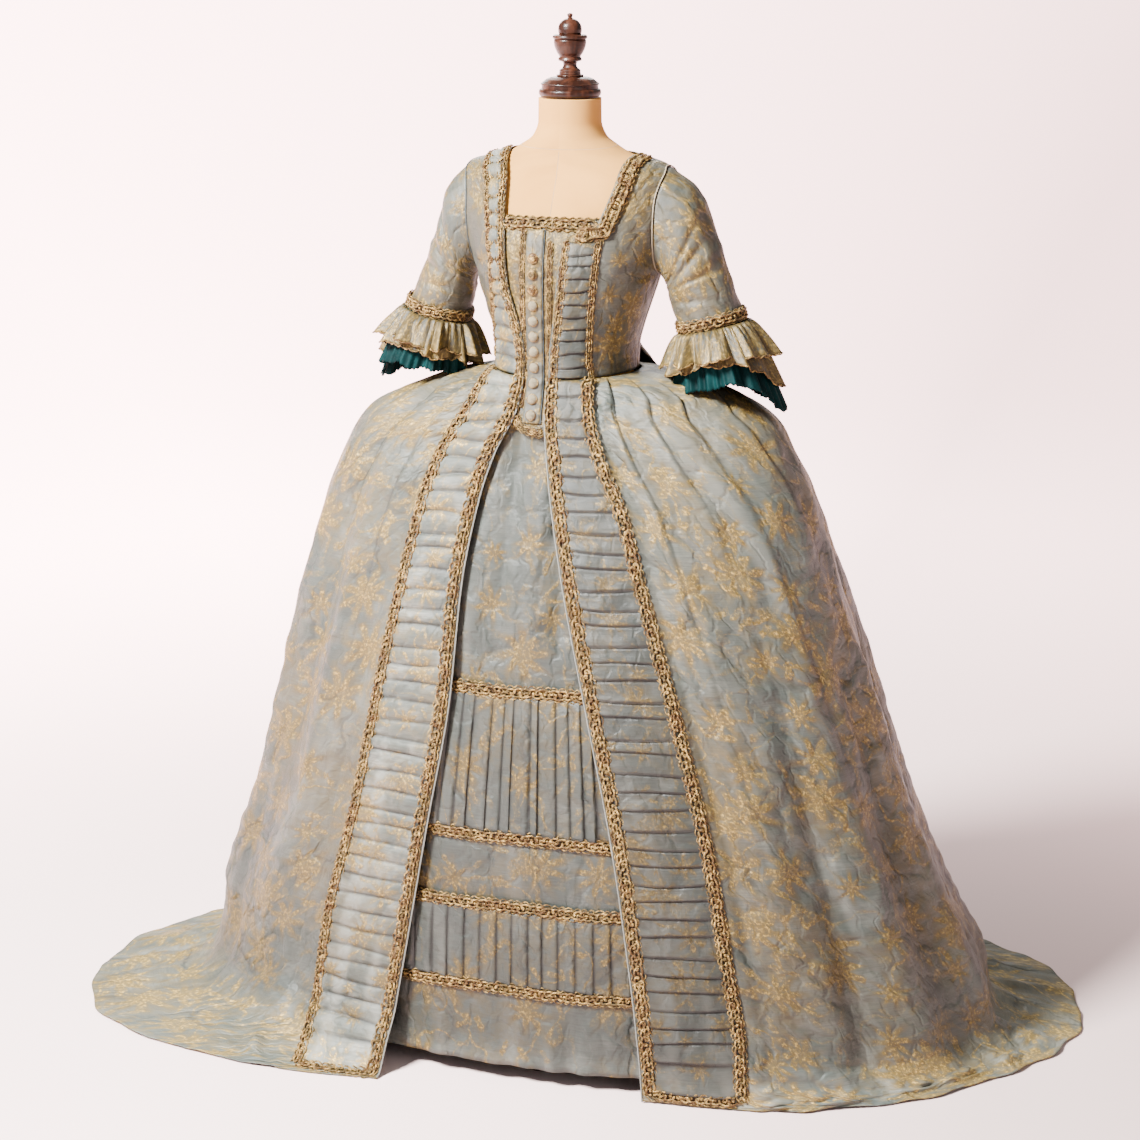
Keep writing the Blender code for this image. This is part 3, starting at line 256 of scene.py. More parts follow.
# The loose back, from the nape to the top of the skirt: its half width, and how
# far it stands off the bodice in the middle and at its edges
SACK = table("""
z half middle edge
1.44 0.062 0.0038 0.0038
1.428 0.067 0.0042 0.0042
1.412 0.071 0.0045 0.0045
1.38 0.075 0.006 0.0045
1.3 0.078 0.016 0.006
1.21 0.076 0.036 0.012
1.15 0.08 0.058 0.022""")

# How far the loose back swings out behind the skirt, in the middle
SWING = table("""
z out
1.1 0.052
1.05 0.046
1 0.038
0.94 0.028
0.86 0.02
0.75 0.014
0.6 0.01
0.4 0.006
0.2 0.002
0.05 0
0 0""")

# Section of the two double box pleats, from the middle of the back outwards
BOX_PLEAT = table("""
share rise
0 0.001
0.12 0.016
0.46 0.017
0.54 0.009
0.83 0.009
0.92 0.001
1 0""")

# Outside of the petticoat, in the same terms as the skirt
PETTICOAT = table("""
z right left front back widest_y square
1.1 0.1051 0.1051 0.1222 0.0868 0 2.1
1.086 0.15 0.155 0.122 0.093 0 2
1.068 0.205 0.215 0.1255 0.105 0 2
1.04 0.28 0.29 0.133 0.135 0.005 2.1
0.995 0.33 0.326 0.143 0.165 0.015 2.2
0.93 0.37 0.358 0.16 0.2 0.025 2.3
0.8 0.415 0.398 0.182 0.253 0.04 2.35
0.6 0.471 0.456 0.203 0.323 0.065 2.3
0.4 0.532 0.515 0.217 0.388 0.095 2.25
0.24 0.58 0.55 0.224 0.43 0.105 2.15
0.11 0.59 0.55 0.225 0.44 0.11 2.1
0.03 0.59 0.53 0.226 0.445 0.11 2.1""")

# Sleeve rings, each an oval between an outer and an inner point. The left sleeve
# is held a little further out.
SLEEVE = table("""
along left_outer left_inner right_outer right_inner outer_z inner_z half_depth
0 0.166 0.15 0.166 0.15 1.426 1.266 0.057
0.12 0.2 0.1512 0.19 0.151 1.398 1.261 0.058
0.32 0.223 0.155 0.206 0.153 1.348 1.25 0.057
0.5 0.239 0.159 0.219 0.155 1.305 1.237 0.055
0.67 0.252 0.164 0.234 0.158 1.268 1.222 0.053
0.83 0.265 0.171 0.25 0.1625 1.232 1.202 0.052
1 0.279 0.18 0.266 0.169 1.199 1.176 0.051""")

print(len(BODY["z"]), "sections of the bodice,", len(SKIRT["z"]), "of the skirt")

# %% Read a table as a smooth curve
def curve_through(knots, values, at):
    """Smooth curve through table rows that never overshoots a row."""
    at = np.asarray(at, float)
    flat = at.reshape(-1)
    if values.ndim == 1:
        values = np.repeat(values[:, None], len(flat), axis=1)
    if knots[0] > knots[-1]:
        knots, values = knots[::-1], values[::-1]
    extra = (1,) * (values.ndim - 2)
    slope = np.diff(values, axis=0) / np.diff(knots).reshape((-1, 1) + extra)
    same_way = slope[:-1] * slope[1:] > 0
    both = np.where(same_way, slope[:-1] + slope[1:], 1)
    inner = np.where(same_way, 2 * slope[:-1] * slope[1:] / both, 0)
    tangent = np.concatenate([slope[:1], inner, slope[-1:]])
    low = np.clip(np.searchsorted(knots, flat, side="right") - 1, 0, len(knots) - 2)
    each = np.arange(len(flat))
    width = (knots[low + 1] - knots[low]).reshape((-1,) + extra)
    t = (flat - knots[low]).reshape((-1,) + extra) / width
    start, end = values[low, each], values[low + 1, each]
    found = (
        (2 * t**3 - 3 * t**2 + 1) * start
        + (t**3 - 2 * t**2 + t) * width * tangent[low, each]
        + (3 * t**2 - 2 * t**3) * end
        + (t**3 - t**2) * width * tangent[low + 1, each]
    )
    return found.reshape(at.shape + values.shape[2:])


def look_up(rows, name, at, key="z"):
    """One column of a table, read smoothly at any height."""
    return curve_through(rows[key], rows[name], at)


def smooth_step(low, high, value):
    """0 at low and 1 at high, with a soft start and end."""
    t = np.clip((value - low) / (high - low), 0, 1)
    return t * t * (3 - 2 * t)


print("half waist", float(look_up(BODY, "half", np.array([WAIST]))[0]))

# %% [markdown]
# ## The three surfaces
# A section is four quarter ovals, so that the front, the back and both sides can
# differ. On the skirt a point is found by its angle round the figure and by how
# far the cloth has fallen, from 0 at the waist to 1 at the hem. Near the floor
# the sections stop shrinking in height and spread out as the train.

# %% Bodice, petticoat and skirt
def oval(angle, z, right, left, front, back, widest_y, square):
    """A section of the figure: half ovals joined on the line where it is widest."""
    sine, cosine = np.sin(angle), np.cos(angle)
    across = np.where(sine > 0, left, right)
    along = np.where(cosine > 0, front + widest_y, back - widest_y)
    total = np.abs(sine / across) ** square + np.abs(cosine / along) ** square
    reach = total ** (-1 / square)
    x = sine * reach
    return np.stack([x, widest_y - cosine * reach, np.zeros_like(x) + z], axis=-1)


def body(angle, z):
    angle, z = np.broadcast_arrays(angle, z)
    half, front, back, square = (look_up(BODY, name, z) for name in list(BODY)[1:])
    return oval(angle, z, half, half, front, back, 0.0, square)


def petticoat(angle, z):
    angle, z = np.broadcast_arrays(angle, z)
    return oval(angle, z, *(look_up(PETTICOAT, name, z) for name in list(PETTICOAT)[1:]))


def hem_reach(angle, share):
    """How far the cloth reaches from TRAIN_MIDDLE, with a share of it still to lie."""
    degrees = np.degrees(np.abs(angle))
    reach = {}
    for side in ("right", "left"):
        lies = look_up(HEM, side + "_lies", degrees, "degrees")
        reach[side] = look_up(HEM, side, degrees, "degrees") - share * lies
    return np.where(angle > 0, reach["left"], reach["right"])


def skirt_levels(angle):
    """The skirt's outline at each level, for a list of angles."""
    angle = (angle + math.pi) % (math.tau) - math.pi
    levels = [oval(angle, *row) for row in zip(*SKIRT.values())]
    for share, z in zip(FLOOR["share"], FLOOR["z"]):
        reach = hem_reach(angle, share)
        y = TRAIN_MIDDLE - np.cos(angle) * reach
        levels.append(np.stack([np.sin(angle) * reach, y, np.full_like(y, z)], axis=-1))
    return np.array(levels)


def distances_down():
    """How far down the cloth each level lies, at the wearer's left, from 0 to 1."""
    side = skirt_levels(np.array([math.pi / 2]))[:, 0]
    run = np.cumsum(np.linalg.norm(np.diff(side, axis=0), axis=1))
    return np.concatenate([[0], run / run[-1]])


FALLS = distances_down()
FALL_HEIGHTS = np.concatenate([SKIRT["z"], FLOOR["z"]])


def skirt(angle, fall):
    """The skirt at an angle, fall going from 0 at the waist to 1 at the hem."""
    angle, fall = np.broadcast_arrays(angle, fall)
    levels = skirt_levels(angle.reshape(-1))
    points = curve_through(FALLS, levels, fall.reshape(-1))
    return points.reshape(angle.shape + (3,))


def fall_at(z):
    """How far the cloth has fallen where it passes a height."""
    falls = np.linspace(0, 1, 1001)
    return np.interp(-np.asarray(z), -curve_through(FALLS, FALL_HEIGHTS, falls), falls)


def height_at(fall):
    return curve_through(FALLS, FALL_HEIGHTS, fall)


def front_shell(angle, z):
    """The bodice above the waist, and the front of the skirt below it."""
    angle, z = np.broadcast_arrays(np.asarray(angle, float), np.asarray(z, float))
    above = body(angle, z)
    below = skirt(angle, fall_at(z))
    return np.where((z >= WAIST)[..., None], above, below)


def lifted(surface, angle, down, out):
    """A surface's points moved out along its normal."""
    angle, down = np.broadcast_arrays(np.asarray(angle, float), np.asarray(down, float))
    step = 1e-4
    sideways = surface(angle + step, down) - surface(angle - step, down)
    lengthways = surface(angle, down + step) - surface(angle, down - step)
    normal = np.cross(sideways, lengthways)
    outward = np.stack([np.sin(angle), -np.cos(angle), np.full_like(angle, 0.3)], axis=-1)
    normal *= np.sign(np.sum(normal * outward, axis=-1, keepdims=True))
    normal /= np.linalg.norm(normal, axis=-1, keepdims=True)
    return surface(angle, down) + normal * np.asarray(out)[..., None]


def angle_of_x(surface, down, x):
    """The angle at which a surface is x from the middle, for each row."""
    way = np.sign(x.flat[0])
    tries = np.linspace(0, math.radians(88), 177)
    found = []
    for each_down, each_x in zip(down, x):
        reach = surface(tries * way, np.full_like(tries, each_down))[:, 0]
        found.append(np.interp(abs(each_x), np.abs(reach), tries))
    return np.array(found) * way


print("the cloth falls over", len(FALLS), "levels")

# %% [markdown]
# ## Edges of the gown
# The armhole is an oval seen from the side. The gown's front edges are distances
# from the middle, and so each has to be found as an angle on its surface.

# %% Find the armhole and the front edges
ARMHOLE_TOP = ARMHOLE_MIDDLE + ARMHOLE_HALF_HEIGHT
ARMHOLE_FOOT = ARMHOLE_MIDDLE - ARMHOLE_HALF_HEIGHT
EDGE_BEYOND = 0.0035    # cloth beyond the inner braid


def armhole_y(z):
    """How far before or behind the arm's line the armhole is cut."""
    share = np.clip((z - ARMHOLE_MIDDLE) / ARMHOLE_HALF_HEIGHT, -1, 1)
    return ARMHOLE_HALF_DEPTH * np.sqrt(1 - share**2)


def body_angle_of_y(z, y):
    """The angle on the wearer's left at which the bodice is y before or behind."""
    tries = np.linspace(math.pi / 2, 0 if y < 0 else math.pi, 181)
    reach = body(tries, np.full_like(tries, z))[:, 1]
    return np.interp(abs(y), np.abs(reach), tries)


def side_angles(z, way):
    """The bodice's edge at the side seam, armhole and shoulder: way is -1 before it."""
    seam = SIDE_SEAM_HALF / SIDE_REACH
    return np.array([body_angle_of_y(each, way * armhole_y(each)) + way * seam for each in z])


def front_names(side):
    return ("left_inner", "left_outer") if side > 0 else ("right_inner", "right_outer")


def border_margin(z):
    """From a braid's line to the edge: braids grow wider below the waist."""
    return np.interp(z, [1.0, WAIST], [BRAID_WIDTH / 2 + 0.002, BODICE_BRAID_WIDTH / 2])


def front_angles(surface, down, z, side, margin):
    """The gown's front edge, and the far side of its trimmed border."""
    inner, outer = front_names(side)
    near = side * (look_up(FRONT, inner, z) - margin)
    far = side * (look_up(FRONT, outer, z) + margin)
    return angle_of_x(surface, down, near), angle_of_x(surface, down, far)


def height_of_width(half):
    """The height at which the bodice's shoulder is this far from the middle."""
    heights = np.linspace(ARMHOLE_TOP, BODY["z"][3], 101)
    return np.interp(-half, -look_up(BODY, "half", heights), heights)


print("armhole from", ARMHOLE_FOOT, "to", ARMHOLE_TOP)


# %% [markdown]
# ## From points to cloth
# A sheet of cloth is a grid of points. Rows go down the cloth and columns go
# across it, towards the wearer's left, so its front faces out. Each grid also
# carries cloth coordinates in metres, measured along its own threads. The
# woven pattern reads those, and so it runs with the cloth over every fold.

# %% Make meshes from grids of points
def running_length(line):
    """Distance along a line at each of its points."""
    return np.concatenate([[0], np.cumsum(np.linalg.norm(np.diff(line, axis=0), axis=1))])


def lengths_along(points, axis):
    """Running length of the cloth along one direction of the grid."""
    steps = np.linalg.norm(np.diff(points, axis=axis), axis=-1)
    pad = [(1, 0) if a == axis else (0, 0) for a in range(2)]
    return np.cumsum(np.pad(steps, pad), axis=axis)


def cloth_coordinates(points):
    """Metres across from the middle column and down from the first row."""
    across = lengths_along(points, 1)
    down = lengths_along(points, 0)
    middle = points.shape[1] // 2
    across = across - across[:, middle:middle + 1]
    down = np.broadcast_to(down.mean(axis=1, keepdims=True), across.shape)
    return np.stack([across, -down], axis=-1)


def grid_faces(rows, columns, around=False):
    last = columns if around else columns - 1
    r, c = np.meshgrid(np.arange(rows - 1), np.arange(last), indexing="ij")
    d = (c + 1) % columns
    faces = [r * columns + c, (r + 1) * columns + c, (r + 1) * columns + d, r * columns + d]
    return np.stack(faces, axis=-1).reshape(-1, 4)


def smooth_piece(name, points, faces, corners, finish):
    """A smooth mesh that rides on the gown, with cloth coordinates at its corners."""
    mesh = bpy.data.meshes.new(name)
    mesh.from_pydata(points.reshape(-1, 3).tolist(), [], faces.tolist())
    layer = mesh.uv_layers.new(name="cloth")
    layer.data.foreach_set("uv", corners.reshape(-1).astype(np.float32))
    mesh.shade_smooth()
    mesh.materials.append(finish)
    made = placed(name, mesh)
    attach(made, "root")
    return made


def grid_piece(name, points, finish, cloth=None, around=False, painted_fold_shade=None):
    """A piece through one grid, with painted shade for its folds stored on its points."""
    rows, columns = points.shape[:2]
    faces = grid_faces(rows, columns, around)
    if cloth is None:
        cloth = cloth_coordinates(points)
    corners = cloth.reshape(-1, 2)[faces]
    if around:
        girth = np.linalg.norm(points[:, 0] - points[:, -1], axis=-1)
        closing = cloth[:, -1, 0] + girth
        rim = faces[:, 2] % columns == 0
        for corner in (2, 3):
            corners[rim, corner, 0] = closing[faces[rim, corner] // columns]
    made = smooth_piece(name, points, faces, corners, finish)
    if painted_fold_shade is not None:
        # painted shade of the folds, which the finishes mix into their colour
        shade = made.data.attributes.new("painted_fold_shade", "FLOAT", "POINT")
        values = np.broadcast_to(painted_fold_shade, (rows, columns)).reshape(-1)
        shade.data.foreach_set("value", values.astype(np.float32))
    return made


def area_of(points, around=False):
    if around:
        points = np.concatenate([points, points[:, :1]], axis=1)
    a, b = points[1:, 1:] - points[:-1, :-1], points[1:, :-1] - points[:-1, 1:]
    return 0.5 * np.linalg.norm(np.cross(a, b), axis=-1).sum()


def cloth_piece(name, node, points, finish, cut, around=False,
                cloth=None, painted_fold_shade=None, thickness=0.001, area=None, facing=1):
    """A sheet of cloth with a wall: cut is its flat width and length in metres."""
    if facing < 0:
        points = points[:, ::-1]
        cloth = None if cloth is None else cloth[:, ::-1]
        painted_fold_shade = None if painted_fold_shade is None else np.broadcast_to(painted_fold_shade, points.shape[:2])[:, ::-1]
    made = grid_piece(name, points, finish, cloth, around, painted_fold_shade)
    wall = made.modifiers.new("wall", "SOLIDIFY")
    wall.thickness = thickness
    wall.offset = -1
    wall.use_rim = True
    if node:
        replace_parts(made, node)
    share = area_of(points, around) / (area or cut[0] * cut[1])
    print(f"{name}: {points.shape[0]} x {points.shape[1]} points, {share:.2f} of its cut")


print("a grid of 2 x 3 points has", len(grid_faces(2, 3)), "faces")

# %% [markdown]
# ## Reading and creasing a sheet
# Trimming is laid on cloth that is already made, so a sheet can be read between
# its points, with the direction that points out of it. Small unrest in the
# cloth is a sum of a few waves that cross at chance angles. It is smooth, and
# its seed makes it the same each time.

# %% Normals, points between points, and unrest
def unit(vectors):
    return vectors / np.linalg.norm(vectors, axis=-1, keepdims=True)


def sheet_normals(points):
    return unit(np.cross(np.gradient(points, axis=0), np.gradient(points, axis=1)))


def between(values, row, column):
    """Values of a grid read at fractional rows and columns."""
    row, column = np.broadcast_arrays(np.asarray(row, float), np.asarray(column, float))
    r = np.clip(row.astype(int), 0, values.shape[0] - 2)
    c = np.clip(column.astype(int), 0, values.shape[1] - 2)
    down, across = (row - r)[..., None], (column - c)[..., None]
    top = values[r, c] * (1 - across) + values[r, c + 1] * across
    low = values[r + 1, c] * (1 - across) + values[r + 1, c + 1] * across
    return top * (1 - down) + low * down


def rumple(u, v, size, seed):
    """An uneven, smooth field between about -1 and 1, with waves about size long."""
    random = np.random.default_rng(seed)
    total = 0
    for _ in range(9):
        turn, wave, start = (random.uniform(*ends) for ends in ((0, math.tau), (0.6, 1.7), (0, 6.3)))
        reach = math.tau * wave / size
        total = total + np.sin(reach * (u * math.cos(turn) + v * math.sin(turn)) + start)
    return total / 3.2


print("unrest at one place:", round(float(rumple(0.1, 0.2, 0.05, 1)), 3))

# %% [markdown]
# ## Cords
# Piping and gimp braid are all cords: a round section swept along a line that
# lies on cloth. The line needs a direction out of the cloth at each point, so
# that a cord can weave over and under its neighbour.

# %% Sweep a cord along a line
def evenly(line, out, step):
    """A line and its outward directions, read again at equal steps."""
    run = running_length(line)
    count = max(int(round(run[-1] / step)), 2) + 1
    at = np.linspace(0, run[-1], count)
    place = np.stack([np.interp(at, run, line[:, k]) for k in range(3)], axis=-1)
    away = np.stack([np.interp(at, run, out[:, k]) for k in range(3)], axis=-1)
    along = unit(np.gradient(place, axis=0))
    away -= along * np.sum(along * away, axis=1, keepdims=True)
    away = unit(away)
    return place, away, np.cross(along, away), at


def around_point(turn, side, up):
    """Directions round a point, from side towards up."""
    return np.cos(turn)[:, None] * side + np.sin(turn)[:, None] * up


def tube_points(line, up, radius, sides):
    along = unit(np.gradient(line, axis=0))
    side = unit(np.cross(along, up))
    up = np.cross(side, along)
    turn = np.linspace(0, math.tau, sides, endpoint=False)
    return line[:, None] + around_point(turn, side[:, None], up[:, None]) * radius


def merged(name, grids, finish, around=True):
    """Several swept grids joined into one piece, with coordinates in metres."""
    points, faces, corners, first = [], [], [], 0
    for grid in grids:
        rows, columns = grid.shape[:2]
        face = grid_faces(rows, columns, around)
        run = np.linalg.norm(np.diff(grid, axis=0), axis=-1).mean(axis=1)
        run = np.concatenate([[0], np.cumsum(run)])
        flat = np.stack(np.broadcast_arrays(np.arange(columns) / columns, run[:, None]), axis=-1)
        corner = flat.reshape(-1, 2)[face]
        if around:
            corner[face[:, 2] % columns == 0, 2:, 0] = 1
        points.append(grid.reshape(-1, 3))
        faces.append(face + first)
        corners.append(corner)
        first += rows * columns
    made = smooth_piece(name, *(np.concatenate(part) for part in (points, faces, corners)), finish)
    return made


def piping(name, line, out, radius, finish, slot="brocade", rise=0.0):
    place, away, _, at = evenly(line, out, 0.006)
    merged(name, [tube_points(place + away * rise, away, radius, 6)], finish)
    print(f"{name}: {at[-1]:.2f} m of cord, {2000 * radius:.1f} mm thick")


print("a cord is swept from rings of 4 to 6 points")

# %% [markdown]
# ## Shader maths as expressions
# A finish is a small calculation for each point of the surface. Nodes can be
# joined one by one, but the sum is then hard to read. Here a wire stands for one
# output socket, and + - * / on wires add the Math nodes, so that a mask can be
# written as it is thought of. Colours go through Mix nodes.

# %% A wire, and the finish that it belongs to
class Wire:
    def __init__(self, finish, socket):
        self.finish, self.socket = finish, socket

    def maths(self, operation, *values, clamp=False):
        settings = {"operation": operation, "use_clamp": clamp}
        return self.finish.node("ShaderNodeMath", settings, dict(enumerate(values)))

    def __abs__(self): return self.maths("ABSOLUTE", self)
    def sine(self): return self.maths("SINE", self)
    def cosine(self): return self.maths("COSINE", self)
    def highest(self, other): return self.maths("MAXIMUM", self, other)
    def lowest(self, other): return self.maths("MINIMUM", self, other)
    def held(self): return self.maths("ADD", self, 0.0, clamp=True)

    def step(self, low, high):
        """0 below low and 1 above high, or the other way round, with a soft middle."""
        return self.finish.node("ShaderNodeMapRange", {"interpolation_type": "SMOOTHSTEP"},
                                {"Value": self, "From Min": low, "From Max": high})

    def other(self, name):
        """Another output of the same node."""
        return Wire(self.finish, self.socket.node.outputs[name])


# x + y, x - y and the rest, with the wire before or behind the sign
for sign, how in (("add", "ADD"), ("sub", "SUBTRACT"), ("mul", "MULTIPLY"),
                  ("truediv", "DIVIDE"), ("pow", "POWER")):
    setattr(Wire, f"__{sign}__", lambda self, other, how=how: self.maths(how, self, other))
    setattr(Wire, f"__r{sign}__", lambda self, other, how=how: self.maths(how, other, self))


class Finish:
    def __init__(self, name, roughness, specular):
        self.material = bpy.data.materials.new(name)
        self.material.use_nodes = True
        self.tree = self.material.node_tree
        self.shader = self.tree.nodes["Principled BSDF"]
        self.shader.inputs["Roughness"].default_value = roughness
        self.shader.inputs["Specular IOR Level"].default_value = specular

    def node(self, kind, settings=None, sockets=None):
        """Any node: its settings first, then the value or wire of each socket."""
        made = self.tree.nodes.new(kind)
        for key, value in (settings or {}).items():
            setattr(made, key, value)
        for key, value in (sockets or {}).items():
            if isinstance(value, Wire):
                self.tree.links.new(value.socket, made.inputs[key])
            else:
                made.inputs[key].default_value = value
        return Wire(self, next(s for s in made.outputs if s.enabled))

    def feed(self, **wires):
        """Wires into the shader's own sockets: base_color feeds Base Color."""
        for name, wire in wires.items():
            self.tree.links.new(wire.socket, self.shader.inputs[name.replace("_", " ").title()])

    def mix(self, share, first, second, blend="MIX"):
        first, second = ((*c, 1) if isinstance(c, tuple) else c for c in (first, second))
        made = self.node("ShaderNodeMix", {"data_type": "RGBA", "blend_type": blend},
                         {0: share, 6: first, 7: second})
        return Wire(self, made.socket.node.outputs[2])

    def vector(self, operation, *values):
        return self.node("ShaderNodeVectorMath", {"operation": operation}, dict(enumerate(values)))

    def scaled(self, vector, scale):
        return self.node("ShaderNodeVectorMath", {"operation": "SCALE"}, {0: vector, "Scale": scale})

    def joined(self, *parts):
        return self.node("ShaderNodeCombineXYZ", {}, dict(enumerate(parts)))

    def apart(self, vector):
        """X, Y and Z of a vector."""
        x = self.node("ShaderNodeSeparateXYZ", {}, {"Vector": vector})
        return x, x.other("Y"), x.other("Z")

    def noise(self, place, scale, detail=2.0, rough=0.5, warp=0.0):
        return self.node("ShaderNodeTexNoise", {"noise_dimensions": "3D"},
                         {"Vector": place, "Scale": scale, "Detail": detail,
                          "Roughness": rough, "Distortion": warp})

    def streaks(self, across, down, detail=2.0, rough=0.5):
        """Noise drawn out along the cloth, by so many waves a metre each way."""
        u, v, _ = self.apart(self.cloth())
        return self.noise(self.joined(u * across, v * down), 1.0, detail, rough)

    def weave(self, threads):
        """Warp over weft, as bumps: so many radians of thread a metre."""
        u, v, _ = self.apart(self.cloth())
        return (u * threads).sine() * (v * threads).sine()

    def cloth(self):
        return self.node("ShaderNodeUVMap", {"uv_map": "cloth"})

    def solid(self):
        return self.node("ShaderNodeTexCoord").other("Object")

    # painted shade of the folds, stored on the points
    def painted_fold_shade(self):
        return self.node("ShaderNodeAttribute", {"attribute_name": "painted_fold_shade"}).other("Fac")

    def relief(self, height, depth, strength=1.0, under=None):
        sockets = {"Height": height, "Distance": depth, "Strength": strength}
        if under is not None:
            sockets["Normal"] = under
        return self.node("ShaderNodeBump", {}, sockets)


def toned(colour, by):
    return tuple(c * by for c in colour)


print("wires add, subtract, multiply and divide")

# %% [markdown]
# ## Figured silk
# The gown is a blue-grey silk with flowers brought up in a dull gold weft. On
# the loom a motif is woven once and repeats, and here a cell texture scatters
# the repeats: each cell's centre carries one flower with petals drawn from the
# angle round it. Thin stems wander between them along the contours of a soft
# noise. The gold floats over a few threads at a time, so it is broken up finely.
# Age shows as warmer, greyer patches.

# %% Draw the sprigs
ANY_TURN = 6.28     # times a chance number, this is a chance angle


def scattered(finish, place, pitch, shift):
    """The nearest of many scattered points: distance, angle and a chance number."""
    moved = finish.vector("ADD", place, shift)
    cell = finish.node("ShaderNodeTexVoronoi", {"voronoi_dimensions": "2D"},
                       {"Vector": moved, "Scale": 1 / pitch, "Randomness": 0.75})
    x, y, _ = finish.apart(finish.vector("SUBTRACT", moved, cell.other("Position")))
    chance = finish.node("ShaderNodeSeparateColor", {}, {"Color": cell.other("Color")})
    return x.maths("SQRT", x * x + y * y), y.maths("ARCTAN2", y, x), chance


def blossoms(finish, place, pitch, flower):
    """Flowers of eight petals, broken into strokes, and the distance from each."""
    reach, angle, chance = scattered(finish, place, pitch, (3.1, 1.7, 0))
    petals = (angle * 8.0 + chance * ANY_TURN + reach * 70.0 * (chance - 0.5)).cosine() * 0.5 + 0.5
    spray = finish.joined(angle * 4.0, reach * 150.0, chance * 9.0)
    strokes = finish.noise(spray, 1.0, 1.0).step(0.36, 0.47)
    size = flower * (0.42 + 0.58 * petals) * (0.6 + 0.9 * chance.other("Green"))
    away = reach / size
    return away.step(1.1, 0.85) * strokes, away


def leaves(finish, place, pitch, flower):
    """Smaller, two-bladed, and left out of about half their places."""
    reach, angle, chance = scattered(finish, place, pitch * 0.34, (0.4, 7.3, 0))
    blade = (angle + chance * ANY_TURN).cosine() ** 4.0
    leaf = (reach / (flower * 0.14 + flower * 0.42 * blade)).step(1.1, 0.7)
    return leaf * chance.other("Green").step(0.45, 0.6)


def stems(finish, place):
    wander = finish.noise(place, 11.0, 1.5, 0.4, 0.5)
    return abs(wander - 0.5).step(0.02, 0.006)


print("a flower has eight petals and two sizes of leaf")

# %% Dye the ground, lay in its creases, and paint in light and shade
SILK_BLUE = (0.055, 0.066, 0.058)
SILK_WARM = (0.098, 0.086, 0.058)
SILK_PALE = (0.17, 0.172, 0.148)
SILK_SLUB_AND_SHADE = (0.03, 0.035, 0.031)
SILK_OCHRE = (0.086, 0.063, 0.025)
GOLD_THREAD = (0.172, 0.116, 0.033)
FOLD_SHADE = (0.008, 0.009, 0.009)


def silk_ground(finish, place, tone, warm, pale):
    """Blue silk with warm patches, pale bloom and dark slubs, and long streaks of painted light and painted
    shade down the cloth.
    """
    colour = finish.mix((tone * warm).held(), SILK_BLUE, SILK_WARM)
    bloom = finish.noise(place, 15.0, 3.0, 0.6).step(0.48, 0.66)
    colour = finish.mix((bloom * pale).held(), colour, SILK_PALE)
    # slubs: the silk's own thicker, darker threads
    slub = finish.streaks(38.0, 360.0, 3.0, 0.6)
    colour = finish.mix(slub.step(0.35, 0.72) * 0.52, colour, SILK_SLUB_AND_SHADE)
    # painted shade and painted light in long streaks down the cloth
    painted_light_and_shade_streaks = finish.streaks(11.0, 1.4, 2.0, 0.6)
    colour = finish.mix(painted_light_and_shade_streaks.step(0.5, 0.66) * 0.4, colour, SILK_SLUB_AND_SHADE)
    return finish.mix(painted_light_and_shade_streaks.step(0.46, 0.34) * pale, colour, SILK_PALE)


def crush_lines(finish, cloth, waver):
    """Distance to the nearest crease: a wide net of them and a fine one."""
    bent = finish.vector("ADD", cloth, finish.scaled(waver, 0.05))
    long_way = finish.vector("MULTIPLY", bent, (1.0, 0.62, 1.0))
    return [finish.node("ShaderNodeTexVoronoi", {"voronoi_dimensions": "2D", "feature": "DISTANCE_TO_EDGE"},
                        {"Vector": long_way, "Scale": 1 / size}) for size in (0.085, 0.03)]


def painted_light_by_height(finish):
    """Painted light by height: darker lower down, as painted shade under the hips, and lighter again on the
    floor, as painted light on the cloth that lies there.
    """
    height = finish.apart(finish.solid())[2]
    return 0.6 + 0.4 * height.step(0.1, 1.15) + 0.7 * height.step(0.09, 0.01)


print("seven tones of silk and gold")

